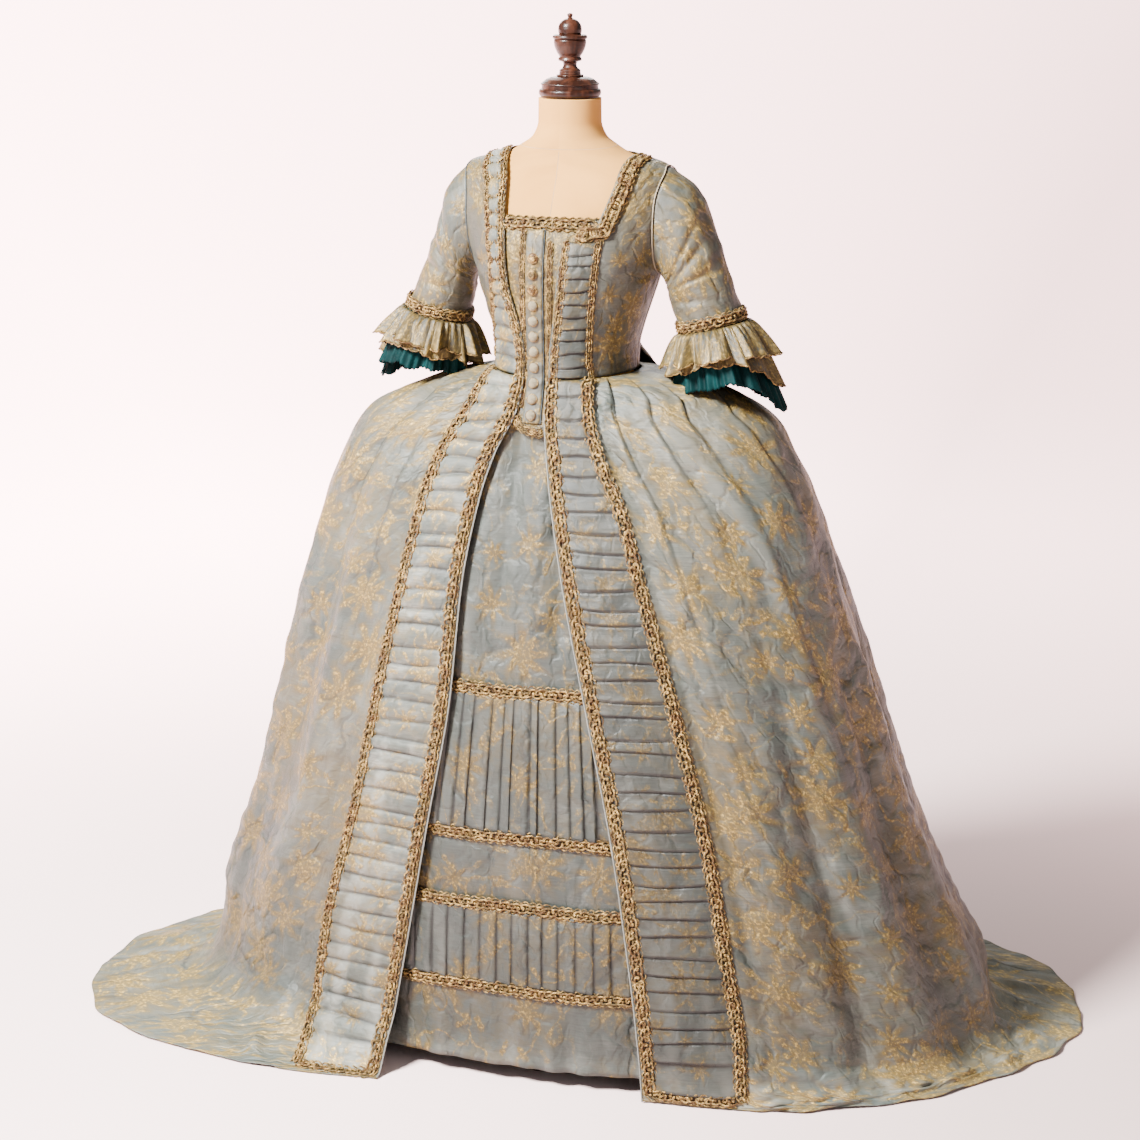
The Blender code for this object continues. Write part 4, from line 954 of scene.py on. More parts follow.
# %% Weave the brocade
def figured_silk(name, gold, warm, pale, flower, pitch, crush, light, edge):
    """Brocade: how much gold, warm and pale, the size of a flower and of the repeat."""
    finish = Finish(name, roughness=0.44, specular=0.32)
    cloth = finish.cloth()
    waver = finish.vector("SUBTRACT", finish.noise(cloth, 26.0, 3.0).other("Color"), (0.5, 0.5, 0.5))
    place = finish.vector("ADD", cloth, finish.scaled(waver, 0.016))
    blossom, away = blossoms(finish, place, pitch, flower)
    where = finish.noise(cloth, 6.5, 2.0).step(0.44, 0.56)
    figure = blossom.highest(stems(finish, place) * (0.3 + 0.7 * where))
    figure = figure.highest(leaves(finish, place, pitch, flower) * (0.35 + 0.65 * where))
    floats = finish.streaks(520.0, 210.0).step(0.34, 0.5)
    worn = finish.noise(cloth, 55.0, 4.0, 0.65).step(0.38, 0.58)
    figure = (figure * floats * (0.4 + 0.6 * worn) * gold).held()
    if edge:
        low, high, amount = edge
        border = finish.apart(cloth)[1].step(high, low)
        lace = finish.noise(cloth, 120.0, 3.0, 0.6).step(0.38, 0.55)
        figure = figure.highest(border * (0.35 + 0.65 * lace) * amount)
    tone = finish.noise(cloth, 3.2, 3.0, 0.55).step(0.35, 0.68)
    ground = silk_ground(finish, place, tone, warm, pale)
    halo = away.step(1.8, 0.5) * 0.8 + worn * where * 0.4
    ground = finish.mix((halo * gold).held(), ground, SILK_OCHRE)
    # painted glints: some gold threads are coloured brighter, as highlights
    glint = finish.noise(cloth, 190.0, 2.0).step(0.45, 0.7)
    thread = finish.mix(glint, toned(GOLD_THREAD, 0.8), toned(GOLD_THREAD, 2.3))
    colour = finish.mix(figure, ground, thread)
    # painted shade in the folds
    colour = finish.mix((finish.painted_fold_shade() * 0.9).held(), colour, FOLD_SHADE)
    wide, fine = crush_lines(finish, cloth, waver)
    soft = finish.noise(cloth, 9.0, 2.0)
    # painted shade along the crush lines, from the same net that raises them
    line = wide.step(0.045, 0.01) * soft.step(0.48, 0.6) * 0.4
    colour = finish.mix((line * crush).held(), colour, FOLD_SHADE)
    # painted light and shade: by height, and by each piece's light
    colour = finish.mix(1.0, colour, painted_light_by_height(finish) * light, "MULTIPLY")
    height = soft * (0.8 + wide.step(0.0, 0.14) * 0.48 + fine.step(0.0, 0.2) * 0.26)
    crushed = finish.relief(height, 0.006 * crush)
    woven = figure * 0.8 + finish.weave(9000.0) * 0.12 + floats * 0.15
    finish.feed(base_color=colour, roughness=(0.43 - 0.06 * figure + 0.1 * tone).held(),
                metallic=(figure * 0.25).held(), normal=finish.relief(woven, 0.0005, 0.6, crushed))
    return finish.material


# name, gold, warm, pale, flower, repeat, crush, light and a gold edge
# light scales the whole colour of a piece: painted light and shade for where it hangs, and on the pale robing
# also the silk's own paler tone
SILKS = (
    ("skirt", 1.0, 0.85, 0.35, 0.034, 0.096, 1.0, 1.0, None),
    ("bodice", 1.0, 0.9, 0.3, 0.022, 0.06, 1.0, 0.76, None),
    ("petticoat", 1.0, 0.08, 0.35, 0.03, 0.11, 1.0, 0.73, None),
    ("robing", 0.85, 0.2, 0.5, 0.02, 0.07, 0.6, 0.52, None),
    ("robing_pale", 0.85, 0.35, 0.8, 0.02, 0.07, 0.7, 1.32, None),
    ("stomacher", 1.9, 1.0, 0.15, 0.019, 0.027, 1.0, 0.62, None),
    ("ruffle", 1.7, 1.0, 0.4, 0.02, 0.026, 0.5, 0.64, (0.004, 0.011, 0.95)),
)
skirt_silk, body_silk, under_silk, band_silk, pale_silk, rich_silk, ruffle_silk = (
    figured_silk(f"brocade_{name}", *amounts) for name, *amounts in SILKS)
print("seven lengths of the same brocade")

# %% [markdown]
# ## Gimp, teal silk, linen, wood
# Gimp braid is a core wound with dull gold thread, so its finish is a fine twist
# that follows each cord, with painted shade in its grooves and painted highlights
# on its shinier patches. The under-ruffles are a plain dark teal silk. The form is
# linen, slightly blotched, and its cap is stained wood with a grain drawn out
# along the turning.

# %% Wind the gimp
ONCE_ROUND = 6.2832     # a cord's own girth, in radians
GIMP_GROOVE_SHADE = (0.012, 0.006, 0.002)
GIMP_COPPER = (0.15, 0.068, 0.015)
GIMP_YELLOW = (0.132, 0.084, 0.022)
GIMP_LIT = (0.52, 0.33, 0.105)


def gimp(name, bright=1.0):
    finish = Finish(name, roughness=0.5, specular=0.3)
    u, v, _ = finish.apart(finish.cloth())
    twist = (u * ONCE_ROUND * 2 + v * 2600.0).sine() * 0.5 + 0.5
    place = finish.solid()
    shiny_highlight_patch = finish.noise(place, 130.0, 3.0, 0.6).step(0.44, 0.64)
    wear = finish.noise(place, 48.0, 2.0).step(0.38, 0.62)
    groove_shade, copper, yellow, lit = (toned(c, bright) for c in (GIMP_GROOVE_SHADE, GIMP_COPPER, GIMP_YELLOW, GIMP_LIT))
    # painted shade in the grooves of the twist
    colour = finish.mix((twist * 0.8).held(), groove_shade, finish.mix(wear, copper, yellow))
    # painted highlights on the brighter, shinier patches
    colour = finish.mix((shiny_highlight_patch * (0.3 + 0.5 * twist)).held(), colour, lit)
    finish.feed(base_color=colour, metallic=(0.25 + shiny_highlight_patch * 0.2).held(),
                roughness=(0.52 - 0.14 * shiny_highlight_patch).held(), normal=finish.relief(twist, 0.0006, 0.8))
    return finish.material


gold_gimp = gimp("gold_gimp")
gold_ground = gimp("gold_ground", 0.4)
print("gimp, and a duller one for its ground")

# %% Plain silks
def plain_silk(name, dark, lit, scale=30.0, gloss=0.2):
    """A silk of one colour, dark to lit: scale is how fine its blotches are."""
    finish = Finish(name, roughness=0.5, specular=gloss)
    cloth = finish.cloth()
    tone = finish.noise(cloth, scale, 3.0).step(0.35, 0.65)
    slub = finish.streaks(60.0, 900.0)
    colour = finish.mix((tone * 0.7 + slub * 0.3).held(), dark, lit)
    # painted shade in the folds
    colour = finish.mix((finish.painted_fold_shade() * 0.8).held(), colour, toned(dark, 0.25))
    soft = finish.relief(finish.noise(cloth, scale, 4.0), 0.003, 0.7)
    woven = finish.weave(7000.0) * 0.2 + slub * 0.4
    finish.feed(base_color=colour, roughness=(0.5 + 0.1 * slub).held(),
                normal=finish.relief(woven, 0.0004, 0.5, soft))
    return finish.material


teal_silk = plain_silk("teal_silk", (0.0003, 0.0075, 0.008), (0.0008, 0.0215, 0.022), gloss=0.06)
button_silk = plain_silk("button_cover", (0.13, 0.11, 0.065), (0.3, 0.255, 0.165), scale=90.0)
pale_edge = plain_silk("pale_edge", (0.13, 0.135, 0.12), (0.24, 0.235, 0.21))
# painted shadow and painted highlight colours for cords
painted_shadow_cord = plain_silk("painted_shadow_cord", (0.03, 0.04, 0.045), (0.07, 0.085, 0.09))
painted_highlight_cord = plain_silk("painted_highlight_cord", (0.25, 0.205, 0.135), (0.36, 0.3, 0.21))
linen_seam = plain_silk("linen_seam", (0.34, 0.23, 0.14), (0.44, 0.31, 0.2))
print("six plain threads and silks")

# %% Linen of the form and walnut of its stand
LINEN_PALE, LINEN_TONED = (0.45, 0.226, 0.054), (0.35, 0.168, 0.038)
LINEN_SPECK, LINEN_SHADE = (0.34, 0.18, 0.07), (0.22, 0.14, 0.07)
WALNUT_DARK, WALNUT_LIT = (0.01, 0.003, 0.0015), (0.045, 0.014, 0.0065)


def linen_finish():
    finish = Finish("linen_form", roughness=0.85, specular=0.15)
    cloth = finish.cloth()
    tone = finish.noise(cloth, 7.0, 4.0, 0.6).step(0.35, 0.7)
    speck = finish.noise(cloth, 160.0, 2.0).step(0.7, 0.76)
    colour = finish.mix((tone * 0.55).held(), LINEN_PALE, LINEN_TONED)
    colour = finish.mix((speck * 0.3).held(), colour, LINEN_SPECK)
    # painted shade in the folds
    colour = finish.mix((finish.painted_fold_shade() * 0.55).held(), colour, LINEN_SHADE)
    woven = finish.weave(6000.0) * 0.3 + finish.streaks(90.0, 900.0) * 0.5
    finish.feed(base_color=colour, roughness=(0.8 + 0.12 * tone).held(),
                normal=finish.relief(woven, 0.0004, 0.5))
    return finish.material


def wood_finish():
    finish = Finish("walnut_turning", roughness=0.3, specular=0.18)
    x, y, z = finish.apart(finish.solid())
    grain = finish.noise(finish.joined(x * 60.0, y * 60.0, z * 9.0), 1.0, 5.0, 0.6, 0.8)
    figure = grain.step(0.38, 0.66)
    finish.feed(base_color=finish.mix(figure, WALNUT_DARK, WALNUT_LIT),
                roughness=(0.3 + 0.16 * figure).held(), coat_weight=(0.08 - 0.05 * figure).held(),
                normal=finish.relief(grain, 0.0008, 0.4))
    return finish.material


linen = linen_finish()
walnut = wood_finish()
print("linen for the form, walnut for its cap, pole and foot")

# %% [markdown]
# ## Paper of the studio floor
# The floor is pale paper that fades into the surround. It gives off a little
# light of its own away from the gown, more behind it and more on one side, and
# so the far floor is as bright as the surround while shadows still fall near by.

# %% Tint the floor
PAPER_PALE, PAPER_TONED, PAPER_SHADE = (0.84, 0.645, 0.63), (0.88, 0.685, 0.67), (0.36, 0.27, 0.25)
GLOW_COLOUR, GLOW_STRENGTH = (1.0, 0.62, 0.61), 12.0


def paper_finish():
    finish = Finish("studio_paper", roughness=0.9, specular=0.1)
    place = finish.solid()
    x, y, _ = finish.apart(place)
    paper = finish.mix(finish.noise(place, 1.2, 2.0), PAPER_PALE, PAPER_TONED)
    # painted shadow: the paper is darkened towards the right
    paper = finish.mix(x.step(-0.5, 1.5) * 0.75, paper, PAPER_SHADE)
    reach = finish.node("ShaderNodeVectorMath", {"operation": "LENGTH"}, {0: place}).other("Value")
    bearing = (x / (reach + 0.1)).highest(-0.55).lowest(-0.05)
    glow = reach.step(0.6, 4.0) * (0.28 + 0.72 * y.step(-1.2, 1.6)) * (0.23 - 1.4 * bearing)
    finish.feed(base_color=paper, emission_color=finish.mix(glow.held(), (0.0, 0.0, 0.0), GLOW_COLOUR))
    finish.shader.inputs["Emission Strength"].default_value = GLOW_STRENGTH
    return finish.material


floor_mesh.materials.append(paper_finish())
print(len(bpy.data.materials), "materials")
# %% [markdown]
# ## Dress form
# The form is a padded torso covered in linen, with one seam down the chest and
# one where the neck is set in. Only its neck and chest show. It is one lofted
# sheet, and the seams are thin cords sunk into it, so that they stay crisp.

# %% Cover the form
FORM_UNDER = 0.0084         # how far the linen lies under the bodice
NECK_UNDER = 0.0023
CLOSING = 0.02              # a ring this much smaller closes each end
SEAM_CORD = 0.0006
SEAM_SUNK = -0.0003


def form_surface(angle, z):
    under = NECK_UNDER + (FORM_UNDER - NECK_UNDER) * (1 - smooth_step(1.41, 1.462, z))
    return lifted(body, angle, z, -under)


z = np.concatenate([np.linspace(CAP_BOTTOM - 0.0006, 1.4, 70), np.linspace(1.395, FORM_BOTTOM, 34)])
angle = np.linspace(0, math.tau, 120, endpoint=False)
rings = form_surface(*np.broadcast_arrays(angle, z[:, None]))
rings[0, :, 2], rings[-1, :, 2] = z[0], z[-1]
closed = (CLOSING, CLOSING, 1)
rings = np.concatenate([rings[:1] * closed, rings, rings[-1:] * closed])
form = grid_piece("linen_torso", rings, linen, around=True)
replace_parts(form, "form_torso")


def form_seam(name, angle, z):
    """A fine cord sunk into the linen, along these angles and heights."""
    line = form_surface(angle, z)
    out = line - lifted(body, angle, z, np.full_like(z, -0.02))
    piping(name, line, out, SEAM_CORD, linen_seam, "linen", SEAM_SUNK)


z = np.linspace(1.449, 1.34, 40)
form_seam("form_seam_front", np.full_like(z, 0.012), z)
angle = np.linspace(-math.pi, math.pi, 90)
form_seam("form_seam_neck", angle, 1.452 + 0.01 * (1 - np.cos(angle)) * 0.5)
print("form", np.round(np.ptp(rings, axis=(0, 1)), 3))

# %% [markdown]
# ## Turned cap and finial
# A wood turner cuts beads, coves and fillets. The outline of half the piece,
# spun round the axis, gives all of them. Fine steps between the curves make it
# look turned, so the outline has many points.

# %% Turn the cap, the finial and the stand
CAP_HEIGHT = 0.034


def turned(name, outline, z, sides, node):
    """An outline of radii and heights above z, spun round the axis in walnut."""
    outline = np.array(outline, float)
    run = running_length(outline)
    at = np.unique(np.concatenate([run, np.linspace(0, run[-1], 70)]))
    radius, height = (np.interp(at, run, column)[:, None] for column in outline.T)
    radius = np.maximum(radius, 0.0003)
    turn = np.linspace(0, math.tau, sides, endpoint=False)
    points = np.stack(np.broadcast_arrays(radius * np.sin(turn), -radius * np.cos(turn), height + z), axis=-1)
    made = grid_piece(name, points, walnut, around=True)
    made.data.set_sharp_from_angle(angle=math.radians(38))
    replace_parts(made, node)
    print(f"{name}: {len(at)} rings of {sides}")


def bead(radius, low, high, bulge, steps=7):
    """A half round of the outline between two heights."""
    turn = np.linspace(math.pi / 2, -math.pi / 2, steps)
    return [(radius + bulge * math.cos(t), (low + high) / 2 + (high - low) / 2 * math.sin(t)) for t in turn]


cap = [(0, CAP_HEIGHT), (0.018, CAP_HEIGHT), *bead(0.019, 0.0312, CAP_HEIGHT, 0.0016),
       (0.024, 0.0305), (0.03, 0.0296), (0.036, 0.0272), (0.04, 0.0242), (0.0425, 0.022),
       *bead(0.043, 0.0185, 0.0215, 0.0014), (0.043, 0.0175), (0.0432, 0.0135),
       *bead(0.044, 0.0018, 0.013, 0.0034, 11), (0.044, 0.0005), (0.043, 0), (0, 0)]
turned("turned_cap", cap, CAP_BOTTOM, 56, "neck_cap")

# radius in metres, and height as a share of the finial's own
FINIAL = table("""
radius share
0 1
0.0026 0.995
0.004 0.982
0.0045 0.965
0.0038 0.945
0.003 0.925
0.0046 0.912
0.009 0.895
0.0125 0.868
0.0155 0.83
0.0172 0.79
0.018 0.74
0.0178 0.69
0.0166 0.655
0.019 0.65
0.0235 0.646
0.0258 0.632
0.0264 0.606
0.0256 0.585
0.0236 0.572
0.0244 0.56
0.0246 0.52
0.024 0.47
0.0222 0.41
0.0196 0.35
0.017 0.31
0.0158 0.285
0.0172 0.268
0.018 0.245
0.0172 0.222
0.012 0.205
0.0104 0.18
0.0102 0.14
0.0118 0.105
0.015 0.08
0.0163 0.06
0.016 0.035
0.0165 0.02
0.0165 0
0 0""")
finial_foot = CAP_BOTTOM + CAP_HEIGHT + GAP
finial = np.stack([FINIAL["radius"], FINIAL["share"] * (FINIAL_TOP - finial_foot)], axis=-1)
turned("turned_finial", finial, finial_foot, 48, "finial")

for name in ("stand_base", "stand_pole"):
    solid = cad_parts[name]
    solid.data.materials.clear()
    solid.data.materials.append(walnut)
print("the stand keeps its solids, in walnut")

# %% [markdown]
# ## Bodice
# The bodice is cut in two fronts and a back, and fits closely over stays. Each
# front carries a border down its edge: two lines of braid with a gathered band
# between them. The border has columns of its own, so that trimming can later be
# laid on the cloth at a stated distance from the edge. Close-fitted silk still
# shows strain: soft creases run from the armhole, and short ones at the waist.

# %% Cut the bodice fronts and back
BORDER_COLUMNS = 10
REST_COLUMNS = 26
SHOULDER_ROWS = 9
FRONT_REACH = 0.14          # from the axis to the cloth of the front
BODICE_HEIGHTS = np.concatenate([np.linspace(1.419, 1.342, 24), np.linspace(1.339, 1.329, 8),
                                 np.linspace(1.325, WAIST + 2 * GAP, 66)])


def bodice_front(side):
    """Angles and heights of one front: the strap over the shoulder, then the rows below it."""
    z = BODICE_HEIGHTS
    near, far = front_angles(body, z, z, side, BODICE_BRAID_WIDTH / 2)
    near = near - side * EDGE_BEYOND / FRONT_REACH
    edge = side * side_angles(z, -1)
    far = np.where(np.abs(far) > 0.94 * np.abs(edge), 0.94 * edge, far)
    border = near[:, None] + (far - near)[:, None] * np.linspace(0, 1, BORDER_COLUMNS + 1)
    rest = far[:, None] + (edge - far)[:, None] * np.linspace(0, 1, REST_COLUMNS)[1:]
    angle = np.concatenate([border, rest], axis=1)
    top = NECK_TOP_LEFT if side > 0 else NECK_TOP_RIGHT
    far_top = height_of_width(FRONT[front_names(side)[1]][0] + BODICE_BRAID_WIDTH / 2)
    seam_z = np.concatenate([np.linspace(top, far_top, BORDER_COLUMNS + 1),
                             np.linspace(far_top, ARMHOLE_TOP, REST_COLUMNS)[1:]])
    seam_angle = np.full_like(seam_z, side * side_angles(np.array([ARMHOLE_TOP]), -1)[0])
    seam_x = np.abs(body(seam_angle, seam_z)[:, 0])
    first_x = np.abs(body(angle[0], z[0])[:, 0])
    over_z, over_angle = [seam_z], [seam_angle]
    for share in np.linspace(0, 1, SHOULDER_ROWS + 1)[1:-1]:
        row_z = seam_z + (z[0] - seam_z) * share**2
        row_angle = angle_of_x(body, row_z, side * (seam_x + (first_x - seam_x) * share))
        row_angle[-1] = side * side_angles(row_z[-1:], -1)[0]
        shares = np.linspace(0, 1, REST_COLUMNS)
        row_angle[BORDER_COLUMNS:] = row_angle[BORDER_COLUMNS] * (1 - shares) + row_angle[-1] * shares
        over_z.append(row_z)
        over_angle.append(row_angle)
    rows = np.concatenate([over_z, np.broadcast_to(z[:, None], angle.shape)])
    points = body(np.concatenate([over_angle, angle]), rows)
    return points if side > 0 else points[:, ::-1]


def strained(points, side, seed):
    """Soft creases of close-fitted silk, left out at the edges that are sewn."""
    x, z = points[..., 0] * side, points[..., 2]
    drag = np.exp(-((z - 1.285 - 0.55 * (x - 0.13)) / 0.006) ** 2) * smooth_step(0.095, 0.135, x)
    second = np.exp(-((z - 1.262 - 0.4 * (x - 0.13)) / 0.007) ** 2) * smooth_step(0.1, 0.14, x)
    waist = np.sin((z - 1.12) * math.tau / 0.021 + 2.0 * x / 0.1) * smooth_step(1.175, 1.135, z)
    waist = waist * smooth_step(0.062, 0.088, x)
    out = -0.0028 * drag - 0.002 * second + 0.001 * waist
    out = out + 0.0008 * rumple(x, z, 0.05, seed)
    inside = np.ones(points.shape[1])
    inside[:3], inside[-3:] = (0, 0.3, 0.7), (0.7, 0.3, 0)
    return points + sheet_normals(points) * (out * inside)[..., None]


fronts = {}
for side, name in SIDES:
    fronts[side] = strained(bodice_front(side), side, 11 + side)
    cloth_piece(f"front_{name}", f"bodice_front_{name}", fronts[side], body_silk, (0.2, 0.4),
                area=0.055)


def bodice_back():
    z = np.concatenate([np.linspace(NECK_TOP_LEFT, ARMHOLE_TOP, 7)[:-1],
                        np.linspace(ARMHOLE_TOP, WAIST + 2 * GAP, 50)])
    start = side_angles(z, 1)[:, None]
    shares = np.linspace(0, 1, 60)
    angle = start + (math.tau - 2 * start) * shares
    rows = z[:, None] + 0 * angle
    rows[0] += (NECK_TOP_RIGHT - NECK_TOP_LEFT) * smooth_step(0.55, 1.0, shares)
    return body(angle, rows)


cloth_piece("back", "bodice_back", bodice_back(), body_silk, (0.38, 0.34),
            area=0.105)

# %% [markdown]
# ## Armhole piping
# Each sleeve is set in with a fine corded seam. On the wearer's right the cord is
# coloured dark, a painted shade where the seam turns from the light, and on the
# left the same cord is coloured cream, a painted highlight.

# %% Pipe the armholes
def armhole(turn, grown):
    """Angles and heights round the left armhole, its oval grown a little."""
    y = -(ARMHOLE_HALF_DEPTH + grown) * np.sin(turn)
    z = ARMHOLE_MIDDLE + (ARMHOLE_HALF_HEIGHT + grown) * np.cos(turn)
    z = np.clip(z, ARMHOLE_FOOT + 1e-5, ARMHOLE_TOP - 1e-5)
    return np.array([body_angle_of_y(b, a if a else 1e-9) for a, b in zip(y, z)]), z


for side, name in SIDES:
    angle, z = armhole(np.linspace(0, math.tau, 80), 0.0004)
    flip = np.array([side, 1, 1])
    line, inner = body(angle, z) * flip, lifted(body, angle, z, -0.01) * flip
    # painted highlight on the left cord, painted shade on the right one
    edge = painted_highlight_cord if side > 0 else painted_shadow_cord
    piping(f"armhole_piping_{name}", line, line - inner, 0.0011, edge, rise=0.0009)


# %% [markdown]
# ## Skirt of the gown
# Each side of the skirt is one long sheet from the front edge to the back seam.
# Flat pleats are laid at the waist and fan out over the hip: each is a ramp that
# ends in a fold, and it fades as the cloth spreads. Lower down the silk hangs in
# a few long folds that wander, and on the floor it lies in low ripples. The
# folds are placed one by one from a table, because a hanging skirt shows a few
# large shapes that a repeated wave can't give.

# %% Folds, placed one by one
# Where a fold lies at its top and foot, as a share of the side from the braid
# back, its half width, how far out or in it goes, and the falls between which
# it lives.
FOLDS = {
    1: table("""
top foot width out start end
0.1 0.11 0.05 0.0085 0.16 0.9
0.02 0.03 0.018 -0.005 0.2 0.95
0.21 0.185 0.034 -0.012 0.38 0.97
0.3 0.275 0.04 0.006 0.34 0.95
0.4 0.34 0.03 -0.008 0.3 0.97
0.5 0.43 0.045 0.011 0.26 0.93
0.57 0.49 0.018 -0.013 0.24 0.99
0.64 0.6 0.04 0.01 0.18 0.97
0.72 0.7 0.03 -0.012 0.22 1
0.8 0.8 0.045 0.011 0.22 0.97
0.89 0.9 0.034 -0.01 0.26 1"""),
    -1: table("""
top foot width out start end
0.05 0.06 0.035 -0.006 0.22 0.92
0.23 0.2 0.04 -0.011 0.08 0.6
0.15 0.15 0.045 0.007 0.2 0.95
0.33 0.29 0.045 0.012 0.12 0.88
0.27 0.24 0.022 -0.008 0.55 1
0.44 0.4 0.035 -0.012 0.22 1
0.54 0.52 0.045 0.011 0.2 0.96
0.63 0.62 0.028 -0.011 0.26 1
0.73 0.72 0.045 0.01 0.24 0.96
0.82 0.82 0.03 -0.011 0.24 1
0.91 0.91 0.034 0.007 0.26 0.96"""),
}


def placed_folds(folds, share, fall):
    """All the folds of one side, each grown in at its top and fading at its foot."""
    total = 0.0
    for top, foot, width, out, start, end in zip(*folds.values()):
        life = np.clip((fall - start) / (end - start), 0, 1)
        middle = top + (foot - top) * life + 0.006 * np.sin(9 * fall + 40 * top)
        grown = smooth_step(0, 0.45, life) * (1 - 0.6 * smooth_step(0.85, 1.0, life))
        away = (share - middle) / (width * (0.6 + 0.5 * life))
        total = total + out * grown * np.exp(-np.abs(away) ** 1.7)
    return total


print(len(FOLDS[1]["top"]), "folds a side")

# %% Lay the waist pleats
PLEAT_EDGES = np.array([0, 11, 27, 40, 56, 69, 84, 98, 113, 128]) / 128
PLEAT_TURN = 0.06           # the share of a pleat that is its sharp fold


def fanned_pleats(share, fall):
    """Flat pleats at the waist: a slow ramp out, then a sharp fold back in."""
    number = np.clip(np.searchsorted(PLEAT_EDGES, share + 1e-6) - 1, 0, len(PLEAT_EDGES) - 2)
    ramp = (share - PLEAT_EDGES[number]) / (PLEAT_EDGES[number + 1] - PLEAT_EDGES[number])
    depth = 0.0068 + 0.0022 * np.sin(number * 2.4 + 1)
    ends = 0.38 + 0.12 * np.sin(number * 1.7)
    fade = 1 - 0.7 * smooth_step(0.1, ends, fall) - 0.3 * smooth_step(0.55, 0.9, fall)
    fade = smooth_step(0.0, 0.035, fall) * fade
    soft = 1 - (np.maximum(ramp - PLEAT_TURN, 0) / (1 - PLEAT_TURN)) ** 0.8
    soft = np.where(ramp < PLEAT_TURN, ramp / PLEAT_TURN, soft)
    inner = smooth_step(0.0, 0.02, share) * smooth_step(1.0, 0.97, share)
    # the second value is painted shade along each sharp fold
    return -depth * soft * fade * inner, soft * fade * (ramp < 0.11) * inner


print(len(PLEAT_EDGES) - 1, "pleats a side")

# %% Cut both sides of the skirt
SKIRT_BORDER = 12
SIDE_COLUMNS = 129
LYING_LIFT = 0.0004         # cloth on the floor, off its plain outline
FLOOR_LIFT = 0.002         # no cloth lies lower than this
FALL_ROWS = np.concatenate([np.linspace(0.003, 0.13, 34)[:-1], np.linspace(0.13, 0.66, 78)[:-1],
                            np.linspace(0.66, 0.87, 44)[:-1], np.linspace(0.87, 1.0, 44)])


def hanging_folds(side, share, down):
    """Folds from the table, with unrest at two scales and waves that grow downwards."""
    out = 1.25 * placed_folds(FOLDS[side], share, down)
    for depth, size, seed, start, end in ((0.0016, 0.1, 31, 0.03, 0.1), (0.001, 0.035, 41, 0.2, 0.6)):
        out += depth * rumple(share * 1.1, down * 1.2, size, seed + side) * smooth_step(start, end, down)
    return out + 0.0045 * smooth_step(0.55, 0.92, down) * np.sin(math.tau * 6.5 * share + 1.3 * side)


def floor_ripples(side, share, down):
    """Low ridges that fan out over the floor, and flatten at the hem."""
    fan = np.sin(math.tau * 11 * share + 2.0 * rumple(share * 1.1, down, 0.35, 51 + side))
    crumple = np.abs(rumple(share * 1.1, down, 0.06, 61 + side))
    ripple = 0.003 + 0.008 * np.maximum(fan, 0) ** 1.5 + 0.0045 * crumple
    return ripple * (1 - 0.75 * smooth_step(0.96, 1.0, down))


def side_grid(side):
    """Angle, share of the side and fall of each point, the border in columns of its own."""
    fall = FALL_ROWS
    z = height_at(fall)
    near, far = front_angles(skirt, fall, z, side, border_margin(z))
    near = near - side * EDGE_BEYOND / np.linalg.norm(skirt(near, fall)[:, :2], axis=1)
    seam = np.interp(fall, [0.1, 0.14], [BACK_SEAM_AT_WAIST, BACK_SEAM])
    radius = np.linalg.norm(skirt(side * seam, fall)[:, :2], axis=1)
    seam = side * (seam - 0.75 * GAP / radius)
    shares = np.linspace(0, 1, SIDE_COLUMNS)[1:]
    border = near[:, None] + (far - near)[:, None] * np.linspace(0, 1, SKIRT_BORDER + 1)
    rest = far[:, None] + (seam - far)[:, None] * shares
    share = np.concatenate([np.zeros(SKIRT_BORDER + 1), shares])
    return np.concatenate([border, rest], axis=1), *np.broadcast_arrays(share, fall[:, None])


def skirt_side(side):
    angle, share, down = side_grid(side)
    pleat, shade = fanned_pleats(share, down)
    inside = smooth_step(0.0, 0.03, share) * smooth_step(1.0, 0.96, share)
    rippled = smooth_step(0.0, 0.02, share) * smooth_step(1.0, 0.965, share)
    lying = smooth_step(0.895, 0.955, down)
    out = hanging_folds(side, share, down) * inside * (1 - lying)
    out = out + (LYING_LIFT + floor_ripples(side, share, down) * rippled) * lying + pleat
    points = lifted(skirt, angle, down, out)
    hem = 0.005 * rumple(share * 1.1, down, 0.11, 71 + side) * smooth_step(0.95, 1.0, down) * inside
    points[..., :2] += unit(points[..., :2] - (0, TRAIN_MIDDLE)) * hem[..., None]
    points[..., 2] = np.maximum(points[..., 2], FLOOR_LIFT)
    return points, shade


skirt_sides = {}
for side, name in SIDES:
    skirt_sides[side], shade = skirt_side(side)
    cloth_piece(f"skirt_side_{name}", f"skirt_{name}", skirt_sides[side], skirt_silk, (1.3, 1.42),
                area=1.25, painted_fold_shade=0.75 * shade, facing=side)

# %% [markdown]
# ## Edge of the gown
# The silk is turned back over a fine cord along each front edge. It shows as a
# thin pale line just beyond the inner braid.

# %% Cord the front edges
for side, name in SIDES:
    out = sheet_normals(skirt_sides[side])[:, 0] * side
    piping(f"skirt_edge_{name}", skirt_sides[side][:, 0], out, 0.0014, pale_edge)

# %% [markdown]
# ## The loose back
# The gown's back is one width of silk laid in two double box pleats, stitched
# only at the nape. They fall free past the waist, swing out behind the hips and
# open into the train. The section of the pleats is a table; below the waist it
# melts into soft folds that carry the same lines on to the floor.

# %% Levels of the loose back
SACK_FALLS = (0.065, 0.1, 0.14, 0.19, 0.26, 0.35, 0.46, 0.57, 0.68, 0.78, 0.845,
              0.89, 0.93, 0.965, 1.0)
SACK_LIFT = 0.019           # off the skirt's outline, at the waist


